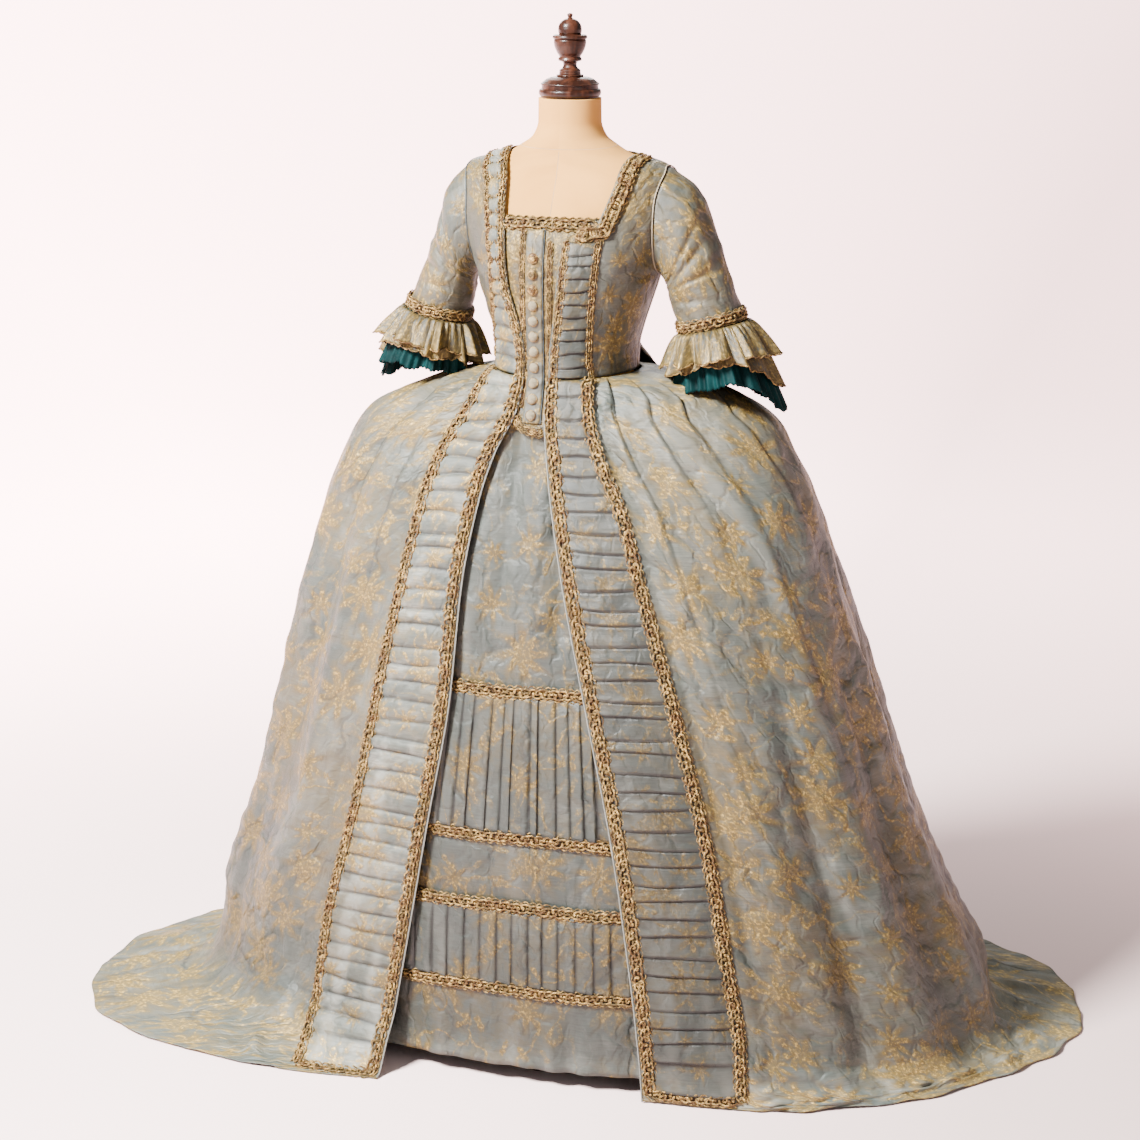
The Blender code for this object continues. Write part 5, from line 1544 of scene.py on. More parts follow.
def sack_levels(share):
    """The loose back at each level: share runs from 1 at the left edge to -1."""
    levels = []
    for z, half, middle, edge in zip(*SACK.values()):
        x = share * half
        widest, deepest, square = (look_up(BODY, name, z) for name in ("half", "back", "square"))
        bodice = deepest * (1 - np.abs(x / widest) ** square) ** (1 / square)
        y = bodice + edge + (middle - edge) * (1 - share**2)
        levels.append(np.stack([x, y, np.full_like(y, z)], axis=-1))
    for fall in SACK_FALLS:
        seam = BACK_SEAM + 0.75 * GAP / np.linalg.norm(skirt(BACK_SEAM, fall)[:2])
        angle = math.pi - share * (math.pi - seam)
        lift = SACK_LIFT * (1 - smooth_step(0.06, 0.2, fall))
        level = lifted(skirt, angle, fall, np.full_like(angle, lift))
        swing = look_up(SWING, "out", np.clip(level[:, 2], 0, SWING["z"][0]))
        level[:, 1] += swing * (1 - share**2)
        levels.append(level)
    return np.array(levels)


share = np.linspace(1, -1, 97)
levels = sack_levels(share)
run = running_length(levels[:, len(share) // 2])
rows = np.concatenate([np.linspace(0, 0.42, 46)[:-1], np.linspace(0.42, run[-1], 84)])
loose = np.array([curve_through(run, levels, np.full(len(share), at)) for at in rows])
print(f"the loose back is {run[-1]:.2f} m long down its middle")

# %% Lay the box pleats and let them fall
z = loose[:, len(share) // 2, 2]
rows = rows[:, None]
opening = smooth_step(1.15, 0.6, z)[:, None]
standing = smooth_step(0.05, 0.25, z)[:, None]
inner = smooth_step(1.0, 0.93, np.abs(share))
pleats = look_up(BOX_PLEAT, "rise", np.abs(share), "share")
soft = 0.012 * (0.5 - 0.5 * np.cos(4 * math.pi * np.abs(share)))
soft = soft + 0.0014 * rumple(share * 0.5, rows, 0.12, 81) * inner
grown = 0.005 * np.sin(math.tau * 2.5 * share + 3 * rows) * inner * opening * standing
ripple = (0.003 + 0.0055 * np.maximum(np.sin(13 * share + 2 * rows), 0) ** 1.5) * inner
ripple = ripple * (1 - 0.75 * smooth_step(run[-1] - 0.05, run[-1], rows))
out = (1 - opening) * pleats + opening * standing * soft + grown + (1 - standing) * opening * ripple
loose = loose + sheet_normals(loose) * out[..., None]
loose[..., 2] = np.maximum(loose[..., 2], FLOOR_LIFT)
# painted shade along the folds of the box pleats, above where they open
pleat_edge_shade = sum(np.exp(-((np.abs(share) - at) / 0.012) ** 2) for at in (0.53, 0.91))
cloth_piece("loose_back", "sack_back", loose, skirt_silk, (1.0, 1.86),
            area=0.84, painted_fold_shade=0.5 * pleat_edge_shade * (1 - opening))

# %% [markdown]
# ## Petticoat
# The petticoat fills the opening of the gown. It is four widths of silk, seamed
# where the gown covers them. It hangs nearly smooth from the waist, with one
# soft fold down the middle of the front, and the panel below the last braid is
# gathered a little. The sheet stays smooth where trimming lies on it.

# %% Hang the four widths
HALF_WIDTH = math.radians(52)       # from the middle to the seams, in front and behind
TRIM_OVER = 0.0011                  # how far trimming lies off the petticoat

# between which angles, in how many columns and rows, and its cut and flat area
PETTICOAT_WIDTHS = (
    ("front", -HALF_WIDTH, HALF_WIDTH, 96, 112, (0.86, 1.12), 0.64),
    ("left", HALF_WIDTH, math.pi - HALF_WIDTH, 34, 70, (0.8, 1.12), 0.7),
    ("back", math.pi - HALF_WIDTH, math.pi + HALF_WIDTH, 44, 70, (0.9, 1.15), 0.64),
    ("right", -math.pi + HALF_WIDTH, -HALF_WIDTH, 34, 70, (0.86, 1.12), 0.72),
)

# height of each braid's middle, and how far it runs to the right and left
PETTICOAT_BRAIDS = ((0.64, 0.19, 0.16), (0.409, 0.225, 0.2), (0.297, 0.245, 0.215), (0.16, 0.265, 0.24))


def petticoat_folds(angle, z):
    """Folds below the waist, loose silk between the middle braids, waves at the foot."""
    u = angle / HALF_WIDTH
    top = smooth_step(0.665, 0.74, z) * smooth_step(1.09, 1.02, z)
    out = top * 0.005 * np.exp(-((u - 0.02 - 0.05 * (1.1 - z)) / 0.1) ** 2)
    out -= top * 0.004 * np.exp(-((u + 0.24 + 0.1 * (1.1 - z)) / 0.07) ** 2)
    out += top * 0.004 * np.exp(-((u + 0.42) / 0.12) ** 2)
    out -= top * 0.0045 * np.exp(-((u - 0.22 + 0.06 * (1.1 - z)) / 0.05) ** 2)
    foot = smooth_step(0.146, 0.08, z)
    waves = np.sin(23 * u + 1.5 * rumple(u, z, 0.4, 91)) * 0.6 + 0.4 * np.sin(41 * u + 2)
    out += foot * (0.003 * waves + 0.001)
    panel = smooth_step(0.312, 0.325, z) * smooth_step(0.396, 0.383, z)
    out += panel * (0.0016 + 0.0014 * np.sin(13 * u + 1.0) + 0.0008 * rumple(u, z, 0.2, 92))
    return out + 0.0007 * rumple(u * 0.3, z, 0.06, 93) * (top + foot)


def petticoat_width(start, end, columns, rows):
    z = np.linspace(1.1, PETTICOAT_HEM, rows)
    seams = np.array([start, end])
    radius = np.linalg.norm(petticoat(seams[None, :], z[:, None])[..., :2], axis=-1)
    first, last = (seams + 1.1 * GAP / radius * np.array([1, -1])).T
    angle = first[:, None] + (last - first)[:, None] * np.linspace(0, 1, columns)
    level = z[:, None] + 0 * angle
    inner = np.ones(columns)
    inner[:2], inner[-2:] = (0, 0.5), (0.5, 0)
    turned = (angle + math.pi) % (math.tau) - math.pi
    return lifted(petticoat, angle, level, petticoat_folds(turned, level) * inner)


for name, start, end, columns, rows, cut, area in PETTICOAT_WIDTHS:
    cloth_piece(f"petticoat_width_{name}", f"petticoat_{name}", petticoat_width(start, end, columns, rows),
                under_silk, cut, area=area)

# %% [markdown]
# ## Pleated flounces of the petticoat
# Two flounces are knife pleated: each pleat is a flat face that ends in a sharp
# fold, with painted shadow under it. The upper one was pleated by eye and its folds
# vary in width; the lower one is regular. Real pleating never runs dead straight,
# so each fold line also leans a little.

# %% Pleat the two flounces
PLEATS = 17
FACE = np.array([0.0, 0.06, 0.16, 0.34, 0.56, 0.76, 0.9, 0.97])    # columns across one pleat


def trim_angles(z, right, left):
    """The angles at which trimming ends, from distances to the right and left."""
    return [angle_of_x(petticoat, np.array([z]), np.array([x]))[0] for x in (-right, left)]


def pleated_flounce(name, top, foot, right, left, uneven, seed, cut):
    """Between two heights and two distances, with folds more or less uneven."""
    random = np.random.default_rng(seed)
    first, last = trim_angles(top, right, left)
    edges = np.arange(PLEATS + 1.0)
    edges[1:-1] += random.uniform(-uneven, uneven, PLEATS - 1)
    edges /= PLEATS
    across = np.concatenate([start + (end - start) * FACE for start, end in zip(edges[:-1], edges[1:])])
    within = np.tile(FACE, PLEATS)
    depth = np.repeat(random.uniform(0.75, 1.15, PLEATS), len(FACE))
    lean = np.repeat(random.uniform(-0.5, 0.5, PLEATS), len(FACE))
    z = np.linspace(top, foot, 30)[:, None]
    down = (top - z) / (top - foot)
    turn = first + (last - first) * (across + lean / PLEATS * 0.35 * uneven * down * 2)
    face = 0.001 + 0.0036 * within**0.75
    drop = np.where(within > 0.95, 0.35, 1.0)
    out = TRIM_OVER + 0.0014 + face * drop * depth * (0.55 + 0.45 * smooth_step(0, 0.3, down))
    out = out + 0.0007 * np.abs(rumple(across * 1.2, down * 0.4, 0.08, seed + 1)) * smooth_step(0, 0.2, down)
    # painted shadow at the foot of each face and under each fold
    shade = np.minimum(np.exp(-(within / 0.075) ** 2) + 0.6 * (within > 0.95), 1.0)
    cloth_piece(name, f"petticoat_{name}", lifted(petticoat, turn, z + 0 * turn, out), under_silk, cut,
                painted_fold_shade=shade, thickness=0.0008)


pleated_flounce("flounce_upper", 0.634, 0.416, 0.205, 0.175, 0.3, 101, (0.5, 0.24))
pleated_flounce("flounce_lower", 0.29, 0.168, 0.25, 0.225, 0.08, 102, (0.62, 0.14))

# %% [markdown]
# ## Stomacher, button placket
# The stiff front panel is the richest piece of the brocade. It carries a narrow
# placket of false buttons, with a strip of gimp on its right and, where its left
# edge is free, a dark cord that is a painted shadow line.

# %% Cut the stomacher and the placket
STOMACHER_IN = 0.0043       # under the gown's own front
PLACKET_RIGHT, PLACKET_LEFT = -0.029, -0.002
PLACKET_OUT = 0.0032
BUTTON_X, BUTTON_PITCH, FIRST_BUTTON = -0.0165, 0.0236, 1.296
STOMACHER = table("""
z right left
1.357 0.08 0.085
1.33 0.078 0.076
1.29 0.074 0.056
1.25 0.072 0.05
1.15 0.048 0.036
1.1 0.047 0.03
1.07 0.044 0.026
1.048 0.03 0.018
1.03 0.007 0.007""")


def front_strip(z, x_right, x_left, columns, out):
    """A strip of the front between two distances from the middle."""
    right, left = (angle_of_x(front_shell, z, 0 * z + x)[:, None] for x in (x_right, x_left))
    angle = right + (left - right) * np.linspace(0, 1, columns)
    return lifted(front_shell, angle, z[:, None], out - STOMACHER_IN)


def front_line(z, x, out):
    """A line down the front, x from the middle, and its outward directions."""
    strip = front_strip(z, x - 0.0005, x + 0.0005, 3, out)
    return strip[:, 1], sheet_normals(strip)[:, 1]


z = np.linspace(STOMACHER_TOP, STOMACHER_POINT, 84)
panel = front_strip(z, -look_up(STOMACHER, "right", z), look_up(STOMACHER, "left", z), 36, 0.0)
panel = panel + sheet_normals(panel) * 0.0006 * rumple(panel[..., 0], panel[..., 2], 0.03, 111)[..., None]
cloth_piece("stomacher_panel", "stomacher", panel, rich_silk, (0.17, 0.34), area=0.034)

placket_top, placket_foot = STOMACHER_TOP - 0.0185, FIRST_BUTTON - 10.5 * BUTTON_PITCH
z = np.linspace(placket_top, placket_foot, 110)
pucker = 0.0005 * np.cos((z - FIRST_BUTTON) / BUTTON_PITCH * math.tau)
strip = front_strip(z, PLACKET_RIGHT, PLACKET_LEFT, 9, PLACKET_OUT + pucker[:, None])
cloth_piece("button_placket", "placket", strip, body_silk, (0.03, 0.31))
# painted shadow: a dark cord along the placket's free left edge
piping("placket_painted_shadow", *front_line(z, PLACKET_LEFT + 0.0008, 0.0018), 0.001, painted_shadow_cord)

# %% [markdown]
# ## Buttons
# Eight plain domes and three worked ones: a wooden mould covered in silk, its
# rim bound with gold thread. The top three are worked all over in gold.

# %% Sew on the buttons
BUTTONS, WORKED_BUTTONS = 11, 3
BUTTON_RADIUS, BUTTON_HEIGHT = 0.0074, 0.0056
# outline of half a dome: reach and height, as shares of its radius and height
DOME = ((1.0, 0.0), (1.0, 0.22), (0.93, 0.42), (0.78, 0.64), (0.55, 0.83), (0.28, 0.96), (0.03, 1.0))
# gold rings: reach, height and thickness of the cord
RIM, CROWN = (0.0075, 0.001, 0.0009), (0.004, 0.005, 0.0008)


def ring_round(centre, ahead, turn, reach, rise):
    """A ring round the direction ahead, lifted by rise."""
    side = unit(np.cross(ahead, (0, 0, 1.0)))
    return centre + ahead * rise + around_point(turn, side, np.cross(side, ahead)) * reach


for number in range(1, BUTTONS + 1):
    worked = number <= WORKED_BUTTONS
    level = FIRST_BUTTON - BUTTON_PITCH * (number - 1)
    line, out = front_line(np.linspace(level + 0.002, level - 0.002, 3), BUTTON_X, PLACKET_OUT + 0.0006)
    centre, ahead = line[1], out[1]
    turn = np.linspace(0, math.tau, 20, endpoint=False)
    dome = np.array([ring_round(centre, ahead, turn, r * BUTTON_RADIUS, h * BUTTON_HEIGHT) for r, h in DOME])
    button = merged(f"button_dome_{number}", [dome], gold_gimp if worked else button_silk)
    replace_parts(button, f"button_{number}")
    turn = np.linspace(0, math.tau, 29)
    cords = []
    for reach, rise, thick in (RIM, CROWN) if worked else (RIM,):
        ring = ring_round(centre, ahead, turn, reach, rise)
        cords.append(tube_points(ring, np.broadcast_to(ahead, ring.shape), thick, 5))
    merged(f"button_rim_{number}", cords, gold_gimp)
print(BUTTONS, "buttons sewn on")

# %% [markdown]
# ## Gathered bands
# The gown's borders are filled with a band of its own silk, gathered across at
# even steps. On the wearer's right the puffs are full and pale, with painted shade
# in the gathers between them, and on the left the silk is laid in flat tucks whose
# creases carry dark lines of painted shade. Hand gathering leaves each crease a
# little tilted, with small wrinkles where the braid holds it.

# %% Find the border on a sheet
def border_columns(sheet, steps, distance, from_far=False):
    """For each row, the column that lies a distance across the border."""
    run = lengths_along(sheet[:, :steps + 1], 1)
    wanted = run[:, -1] - distance if from_far else distance + 0 * run[:, -1]
    wanted = np.clip(wanted, 0.0, run[:, -1])
    return np.array([np.interp(w, each, np.arange(steps + 1)) for w, each in zip(wanted, run)])


def on_border(sheet, side, row, column, out):
    """Points a little off the sheet, and the directions that point out of it."""
    normal = unit(between(sheet_normals(sheet) * side, row, column))
    return between(sheet, row, column) + normal * np.asarray(out)[..., None], normal


def border_run(sheet, steps):
    """Running length of the border, down its middle."""
    return running_length(sheet[:, steps // 2])


print("rows and columns are found along the cloth itself")

# %% Gather a band
BAND_ROWS = 11


def puffed(within):
    """A full round puff between two gathers, and the shade in them."""
    puff = np.sin(math.pi * within) ** 0.55
    return puff, np.exp(-(np.minimum(within, 1 - within) / 0.085) ** 2)


def tucked(within):
    """A flat tuck that rises to its fold and drops, and the shade under it."""
    puff = smooth_step(0.0, 0.1, within) * (0.55 + 0.45 * smooth_step(0.1, 0.85, within))
    puff = puff * (1 - smooth_step(0.9, 1.0, within))
    return puff, np.exp(-(within / 0.11) ** 2) + 0.9 * (within > 0.89)


def gathered_band(name, node, sheet, side, steps, ends, columns, pleats, rise, seed, cut, plain=0.0):
    """ends are rows of the sheet, and columns are those of the band's two edges, row by row."""
    random = np.random.default_rng(seed)
    run = border_run(sheet, steps)
    number_of_row = np.arange(len(run))
    top, foot = np.interp(ends, number_of_row, run)
    pitch = (foot - top - plain) / pleats
    crease = top + pitch * np.arange(pleats + 1.0)
    crease[-1] = foot
    crease[1:-1] += random.uniform(-0.15, 0.15, pleats - 1) * pitch
    lean = np.pad(random.uniform(-0.3, 0.12, pleats - 1), 1) * pitch * side
    bow = np.pad(random.uniform(-0.14, 0.14, pleats - 1), 1) * pitch
    fullness = random.uniform(0.8, 1.15, pleats)
    across = np.linspace(0, 1, 15)

    def creased(number):
        tilted = crease[number][:, None] + lean[number][:, None] * (across - 0.5)
        return tilted + bow[number][:, None] * np.sin(math.pi * across)

    within = np.append(np.tile(np.arange(BAND_ROWS) / BAND_ROWS, pleats), 0.0)
    number = np.append(np.repeat(np.arange(pleats), BAND_ROWS), pleats - 1)
    at = creased(number) + (creased(number + 1) - creased(number)) * within[:, None]
    at[-1] = crease[-1]
    row = np.interp(at, run, number_of_row)
    start, end = (np.interp(row, number_of_row, edge) for edge in columns)
    column = start + (end - start) * across
    puff, shade = (part[:, None] for part in (tucked if side > 0 else puffed)(within))
    tied = np.minimum(across, 1 - across)
    hold = 0.35 + 0.65 * smooth_step(0.0, 0.22, tied)
    wrinkle = np.cos(math.tau * 3 * within[:, None] + number[:, None]) * np.exp(-tied / 0.11)
    out = 0.0006 + rise * puff * fullness[number][:, None] * hold + 0.0006 * wrinkle * puff
    out = out + 0.0005 * rumple(across * 0.06, at, 0.03, seed + 1) * puff
    points, _ = on_border(sheet, side, row, column, out)
    # painted shade in the gathers and in the creases of the tucks
    painted_fold_shade = np.minimum(shade, 1.0) * (0.75 + 0.25 * np.cos(5 * across + number[:, None]))
    cloth_piece(name, node, points, band_silk if side > 0 else pale_silk, cut,
                painted_fold_shade=painted_fold_shade, thickness=0.0007, facing=side)


print("a band has", BAND_ROWS, "rows a pleat")

# %% Lay the bands on the gown
ROBING_ROW = 32 + SHOULDER_ROWS     # the row of the bodice where its left border narrows
SEWN_IN = 0.001                     # the band's edges lie this far under the braid
BAND_FOOT = 0.0135                  # the lowest braid, above the hem
BAND_CUTS = {"left": (0.046, 0.34), "right": (0.046, 0.42)}

edges = {}
for side, name in SIDES:
    bodice = fronts[side][:, ::side]
    beyond = SEWN_IN + BODICE_BRAID_WIDTH / 2
    inner = border_columns(bodice, BORDER_COLUMNS, EDGE_BEYOND + beyond)
    outer = border_columns(bodice, BORDER_COLUMNS, beyond, from_far=True)
    lowest = len(bodice) - 1
    top, pleats = (ROBING_ROW + 1, 11) if side > 0 else (1, 15)
    gathered_band(f"band_bodice_{name}", f"robing_bodice_{name}", bodice, side, BORDER_COLUMNS, (top, lowest),
                  (inner, outer), pleats, 0.0042, 121 + side, BAND_CUTS[name])
    edges[side, "bodice"] = bodice, inner, outer, lowest

    gown = skirt_sides[side]
    beyond = SEWN_IN + border_margin(height_at(FALL_ROWS))
    inner = border_columns(gown, SKIRT_BORDER, EDGE_BEYOND + beyond)
    outer = border_columns(gown, SKIRT_BORDER, beyond, from_far=True)
    run = border_run(gown, SKIRT_BORDER)
    foot = np.interp(run[-1] - BAND_FOOT, run, np.arange(len(run)))
    gathered_band(f"band_skirt_{name}", f"robing_skirt_{name}", gown, side, SKIRT_BORDER, (3, foot),
                  (inner, outer), 38, 0.0045 if side > 0 else 0.0058, 131 + side, (0.085, 2.2), plain=0.026)
    edges[side, "skirt"] = gown, inner, outer, foot

# %% [markdown]
# ## Gold braid
# The braid is a chain: two thick gold cords run side by side, each thrown back
# in a round loop over itself, on a narrow ground of dull gold. No two loops are
# quite alike. A finer cord runs along both edges and swings out round each loop,
# which gives the scalloped outline. It is worked once as a function of a line on
# the cloth, and so every braid follows its cloth.

# %% Work a braid along a line
def worked_braid(name, node, line, out, width, loop, double=False):
    """A braid so wide, of loops so long: a double one has two chains."""
    place, away, across, at = evenly(line, out, loop / 9)
    run = at[-1]
    loops = max(round(run / loop), 1)
    turn = math.tau * loops * at / run
    along = unit(np.gradient(place, axis=0))
    thick = 0.098 * width
    swing = width / 2 - 1.3 * thick
    uneven = 1 + 0.2 * np.sin(0.37 * turn + width * 900) + 0.16 * np.sin(0.83 * turn)
    wander = turn + 0.7 * np.sin(0.31 * turn + width * 700) + 0.45 * np.sin(0.57 * turn)
    # where in its turn a cord starts, the middle of its loops, and half their breadth
    lines = [(0.0, -0.42 * swing, 0.54 * swing), (math.pi, 0.42 * swing, 0.54 * swing)]
    if double:
        lines = [(phase, way * swing * 0.5, swing * 0.52) for way in (1, -1) for phase in (0.0, math.pi)]
    cords = []
    for phase, middle, half in lines:
        way = -1 if middle < 0 else 1
        side = middle + way * half * np.cos(wander + phase) * uneven
        push = 0.4 * loop * np.sin(wander + phase + 0.4 * np.sin(0.23 * turn)) * uneven
        rise = thick * (1.3 + 0.7 * np.cos(2 * (wander + phase) + 0.6))
        path = place + across * side[:, None] + along * push[:, None] + away * rise[:, None]
        cords.append(tube_points(path, away, thick, 5))
    for way in (1, -1):
        side = way * (width / 2 - 0.2 * width + 0.3 * width * np.abs(np.sin(wander / 2 + way)) ** 0.6)
        edge = place + across * side[:, None] + away * (thick * 0.8)
        cords.append(tube_points(edge[::2], away[::2], thick * 0.62, 4))
    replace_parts(merged(name, cords, gold_gimp), node)
    flat = np.array([-0.34, -0.17, 0.0, 0.17, 0.34]) * width
    ground = place[::4, None] + across[::4, None] * flat[:, None] + away[::4, None] * (thick * 0.45)
    merged(name + "_ground", [ground], gold_ground, around=False)
    print(f"{name}: {run:.2f} m, {loops} loops")


def down_border(sheet, side, columns, top, foot):
    """The line of one of the border's columns, and its outward directions."""
    row = np.append(np.arange(top, foot), foot)
    return on_border(sheet, side, row, np.interp(row, np.arange(len(columns)), columns), OVER_CLOTH)


# width of each braid, and length of its loops
OVER_CLOTH = 0.0005
SKIRT_BRAID = (0.019, 0.0122)
PETTICOAT_BRAID = (0.0185, 0.012)
NECK_BRAID = (0.02, 0.0108)
BODICE_LOOP = 0.0096
FINE_LOOP = 0.009
print("a skirt braid has", round(1 / SKIRT_BRAID[1]), "loops a metre")

# %% Braids of the gown
for side, name in SIDES:
    bodice, inner, outer, lowest = edges[side, "bodice"]
    width = 0.012 if side > 0 else 0.015
    top = ROBING_ROW + 1 if side > 0 else 0
    worked_braid(f"braid_bodice_inner_{name}", f"bodice_braid_inner_{name}",
                 *down_border(bodice, side, inner, top, lowest), width, BODICE_LOOP)
    outer_top = 0
    if side > 0:
        outer_top = ROBING_ROW - 1
        middle = border_columns(bodice, BORDER_COLUMNS, EDGE_BEYOND + 0.012)
        blend = smooth_step(ROBING_ROW + 2, ROBING_ROW - 4, np.arange(len(bodice)))
        neck = middle * blend + outer * (1 - blend)
        worked_braid("braid_neck_left", "bodice_braid_outer_left",
                     *down_border(bodice, side, neck, 0, outer_top), *NECK_BRAID, double=True)
    worked_braid(f"braid_bodice_outer_{name}", f"bodice_braid_outer_{name}",
                 *down_border(bodice, side, outer, outer_top, lowest), width - 0.0005, BODICE_LOOP)

    gown, inner, outer, foot = edges[side, "skirt"]
    worked_braid(f"braid_skirt_outer_{name}", f"skirt_braid_outer_{name}",
                 *down_border(gown, side, outer, 1, foot), *SKIRT_BRAID)
    ends = [np.interp(foot, np.arange(len(gown)), columns) for columns in (inner, outer)]
    down = down_border(gown, side, inner, 1, foot)
    hem = on_border(gown, side, np.full(22, foot), np.linspace(*ends, 24)[1:-1], OVER_CLOTH)
    worked_braid(f"braid_skirt_inner_{name}", f"skirt_braid_inner_{name}",
                 *(np.concatenate(part) for part in zip(down, hem)), *SKIRT_BRAID)

# %% Braids of the petticoat, stomacher and placket
def raised_line(surface, angle, z, out, inside):
    """A line off a surface, and its directions away from a line further in."""
    line = lifted(surface, angle, z, out)
    return line, line - lifted(surface, angle, z, inside)


def on_stomacher(angle, z):
    return raised_line(front_shell, angle, z, 0.0006 - STOMACHER_IN, -0.01 - STOMACHER_IN)


for number, (z, right, left) in enumerate(PETTICOAT_BRAIDS):
    angle = np.linspace(*trim_angles(z + 0.0115, right, left), 90)
    sag = z + 0.0012 * np.sin(9 * angle + number)
    worked_braid(f"braid_petticoat_{number + 1}", f"petticoat_braid_{number + 1}",
                 *raised_line(petticoat, angle, sag, TRIM_OVER + 0.0016, TRIM_OVER - 0.004), *PETTICOAT_BRAID)

x = np.linspace(-0.07, 0.078, 60)
z = np.full(60, STOMACHER_TOP - 0.0095)
angle = np.array([angle_of_x(front_shell, z[:1], np.array([each]))[0] for each in x])
worked_braid("braid_stomacher_top", "stomacher_braid_top", *on_stomacher(angle, z), *PETTICOAT_BRAID)

point = table("""
x z
-0.041 1.06
-0.036 1.049
-0.029 1.0412
-0.015 1.0365
-0.002 1.034
0.004 1.037""")
x = np.linspace(-0.041, 0.004, 24)
angle, z = np.arctan2(x, 0.145), look_up(point, "z", x, "x")
worked_braid("braid_stomacher_point", "stomacher_braid_point", *on_stomacher(angle, z), 0.0115, FINE_LOOP)

z = np.linspace(placket_top, placket_foot + 0.02, 90)
gown_edge = look_up(FRONT, "right_inner", z) - border_margin(z) - 0.0015
middle = -(np.minimum(0.041, gown_edge) + 0.03) / 2
worked_braid("braid_placket", "placket_braid", *front_line(z, middle, 0.0008), 0.01, FINE_LOOP)
z = z[6:]
worked_braid("braid_placket_left", "placket_braid", *front_line(z, 0.0085 + 0 * z, 0.0008), 0.0085, FINE_LOOP)

# %% [markdown]
# ## Sleeves
# A sleeve is a tube set into the armhole and cut close to the elbow. Worn silk
# keeps the creases of the bent arm: short folds cross the front of the elbow and
# a long one runs down from the shoulder. They are laid as troughs across the
# tube, deeper towards the inside of the bend.

# %% Set in the sleeves
SLEEVE_SIDES = 96


def sleeve_points(along, name):
    """The outer and the inner point of the oval at each place along the arm."""
    points = []
    for end in ("outer", "inner"):
        x, z = (look_up(SLEEVE, column, along, "along") for column in (f"{name}_{end}", f"{end}_z"))
        points.append(np.stack([x, 0 * x, z], axis=-1))
    return points


def sleeve_ring(turn, along, name):
    """An oval across the arm: turn 0 is outside, and a quarter turn is its front."""
    outer, inner = sleeve_points(along, name)
    depth = look_up(SLEEVE, "half_depth", along, "along")
    point = (outer + inner) / 2 + (outer - inner) / 2 * np.cos(turn)[..., None]
    point[..., 1] = -depth * np.sin(turn)
    return point


def sleeve_surface(along, turn, name):
    """The sleeve's tube, bent at its top to meet the armhole."""
    along, turn = np.broadcast_arrays(along[:, None], turn)
    seam = body(*armhole(turn[0], -0.0011)) - sleeve_ring(turn[0], along[0], name)
    fade = (1 - smooth_step(0, 0.22, along))[..., None]
    return sleeve_ring(turn, along, name) + seam[None] * fade


def on_arm(points, side):
    """A sheet round the left arm, or its mirror image round the right one."""
    return points[:, ::-1] if side > 0 else points * np.array([-1, 1, 1])


# Creases of the bent elbow: where along the arm and round it, how much each
# leans, its width, how far it goes out or in, and how far round it reaches.
CREASES = table("""
along lean turn width out reach
0.3 0.16 1.1 0.028 -0.0034 0.8
0.46 0.1 1.35 0.026 -0.004 0.95
0.6 -0.08 1.2 0.024 -0.0036 0.8
0.74 -0.12 1.55 0.022 -0.003 0.75
0.4 -0.06 2.4 0.03 -0.003 0.6
0.56 0.08 4.4 0.026 -0.0034 0.8
0.7 -0.06 4.9 0.024 -0.0028 0.8
0.22 0.1 0.2 0.03 0.0026 0.7
0.52 0.05 0.3 0.034 0.0024 0.8""")


def sleeve_creases(along, turn, seed):
    """How far the sleeve's surface goes out or in, the two arms a little apart."""
    out = 0.0
    for at, lean, middle, width, deep, reach in zip(*CREASES.values()):
        away = (turn - middle - 0.15 * math.sin(seed) + math.pi) % (math.tau) - math.pi
        line = at + 0.02 * math.sin(seed * at * 9) + lean * away * 0.5
        out = out + deep * np.exp(-((along - line) / width) ** 2) * np.exp(-(away / reach) ** 2)
    out = out + 0.0012 * rumple(along * 0.16, np.sin(turn) * 0.08, 0.05, 141 + seed)
    return out * smooth_step(0.02, 0.16, along) * smooth_step(1.0, 0.9, along)


along = np.linspace(0, 1, 54)
turn = np.linspace(0, math.tau, SLEEVE_SIDES, endpoint=False)
for side, name in SIDES:
    tube = sleeve_surface(along, turn, name)
    outward = unit(tube - tube.mean(axis=1, keepdims=True))
    creased = tube + outward * sleeve_creases(along[:, None], turn, side)[..., None]
    cloth_piece(f"sleeve_silk_{name}", f"sleeve_{name}", on_arm(creased, side), body_silk, (0.34, 0.24),
                around=True, area=0.068)

# %% [markdown]
# ## Cuff ruffles
# Below the elbow hang three ruffles. Two are the gown's brocade, one over the
# other, cut in a curve so that they are short in front of the arm and drop
# further at its outside, gathered at the top and edged with gold. The lowest is
# teal silk, set in pleats to its edge. Each is a tube whose radius swings in and
# out: a few large waves of different widths, and small gathers that fade downwards.

# %% Gather the ruffles
# large waves round the arm, rows, columns, small gathers and their depth,
# finish, slot and seed
RUFFLE_KINDS = {
    "flounce": (7, 24, 240, 30, 0.0016, ruffle_silk, "brocade", 151),
    "overlay": (8, 20, 240, 34, 0.0018, ruffle_silk, "brocade", 171),
    "engageante": (9, 26, 238, 34, 0.0024, teal_silk, "teal_silk", 161),
}
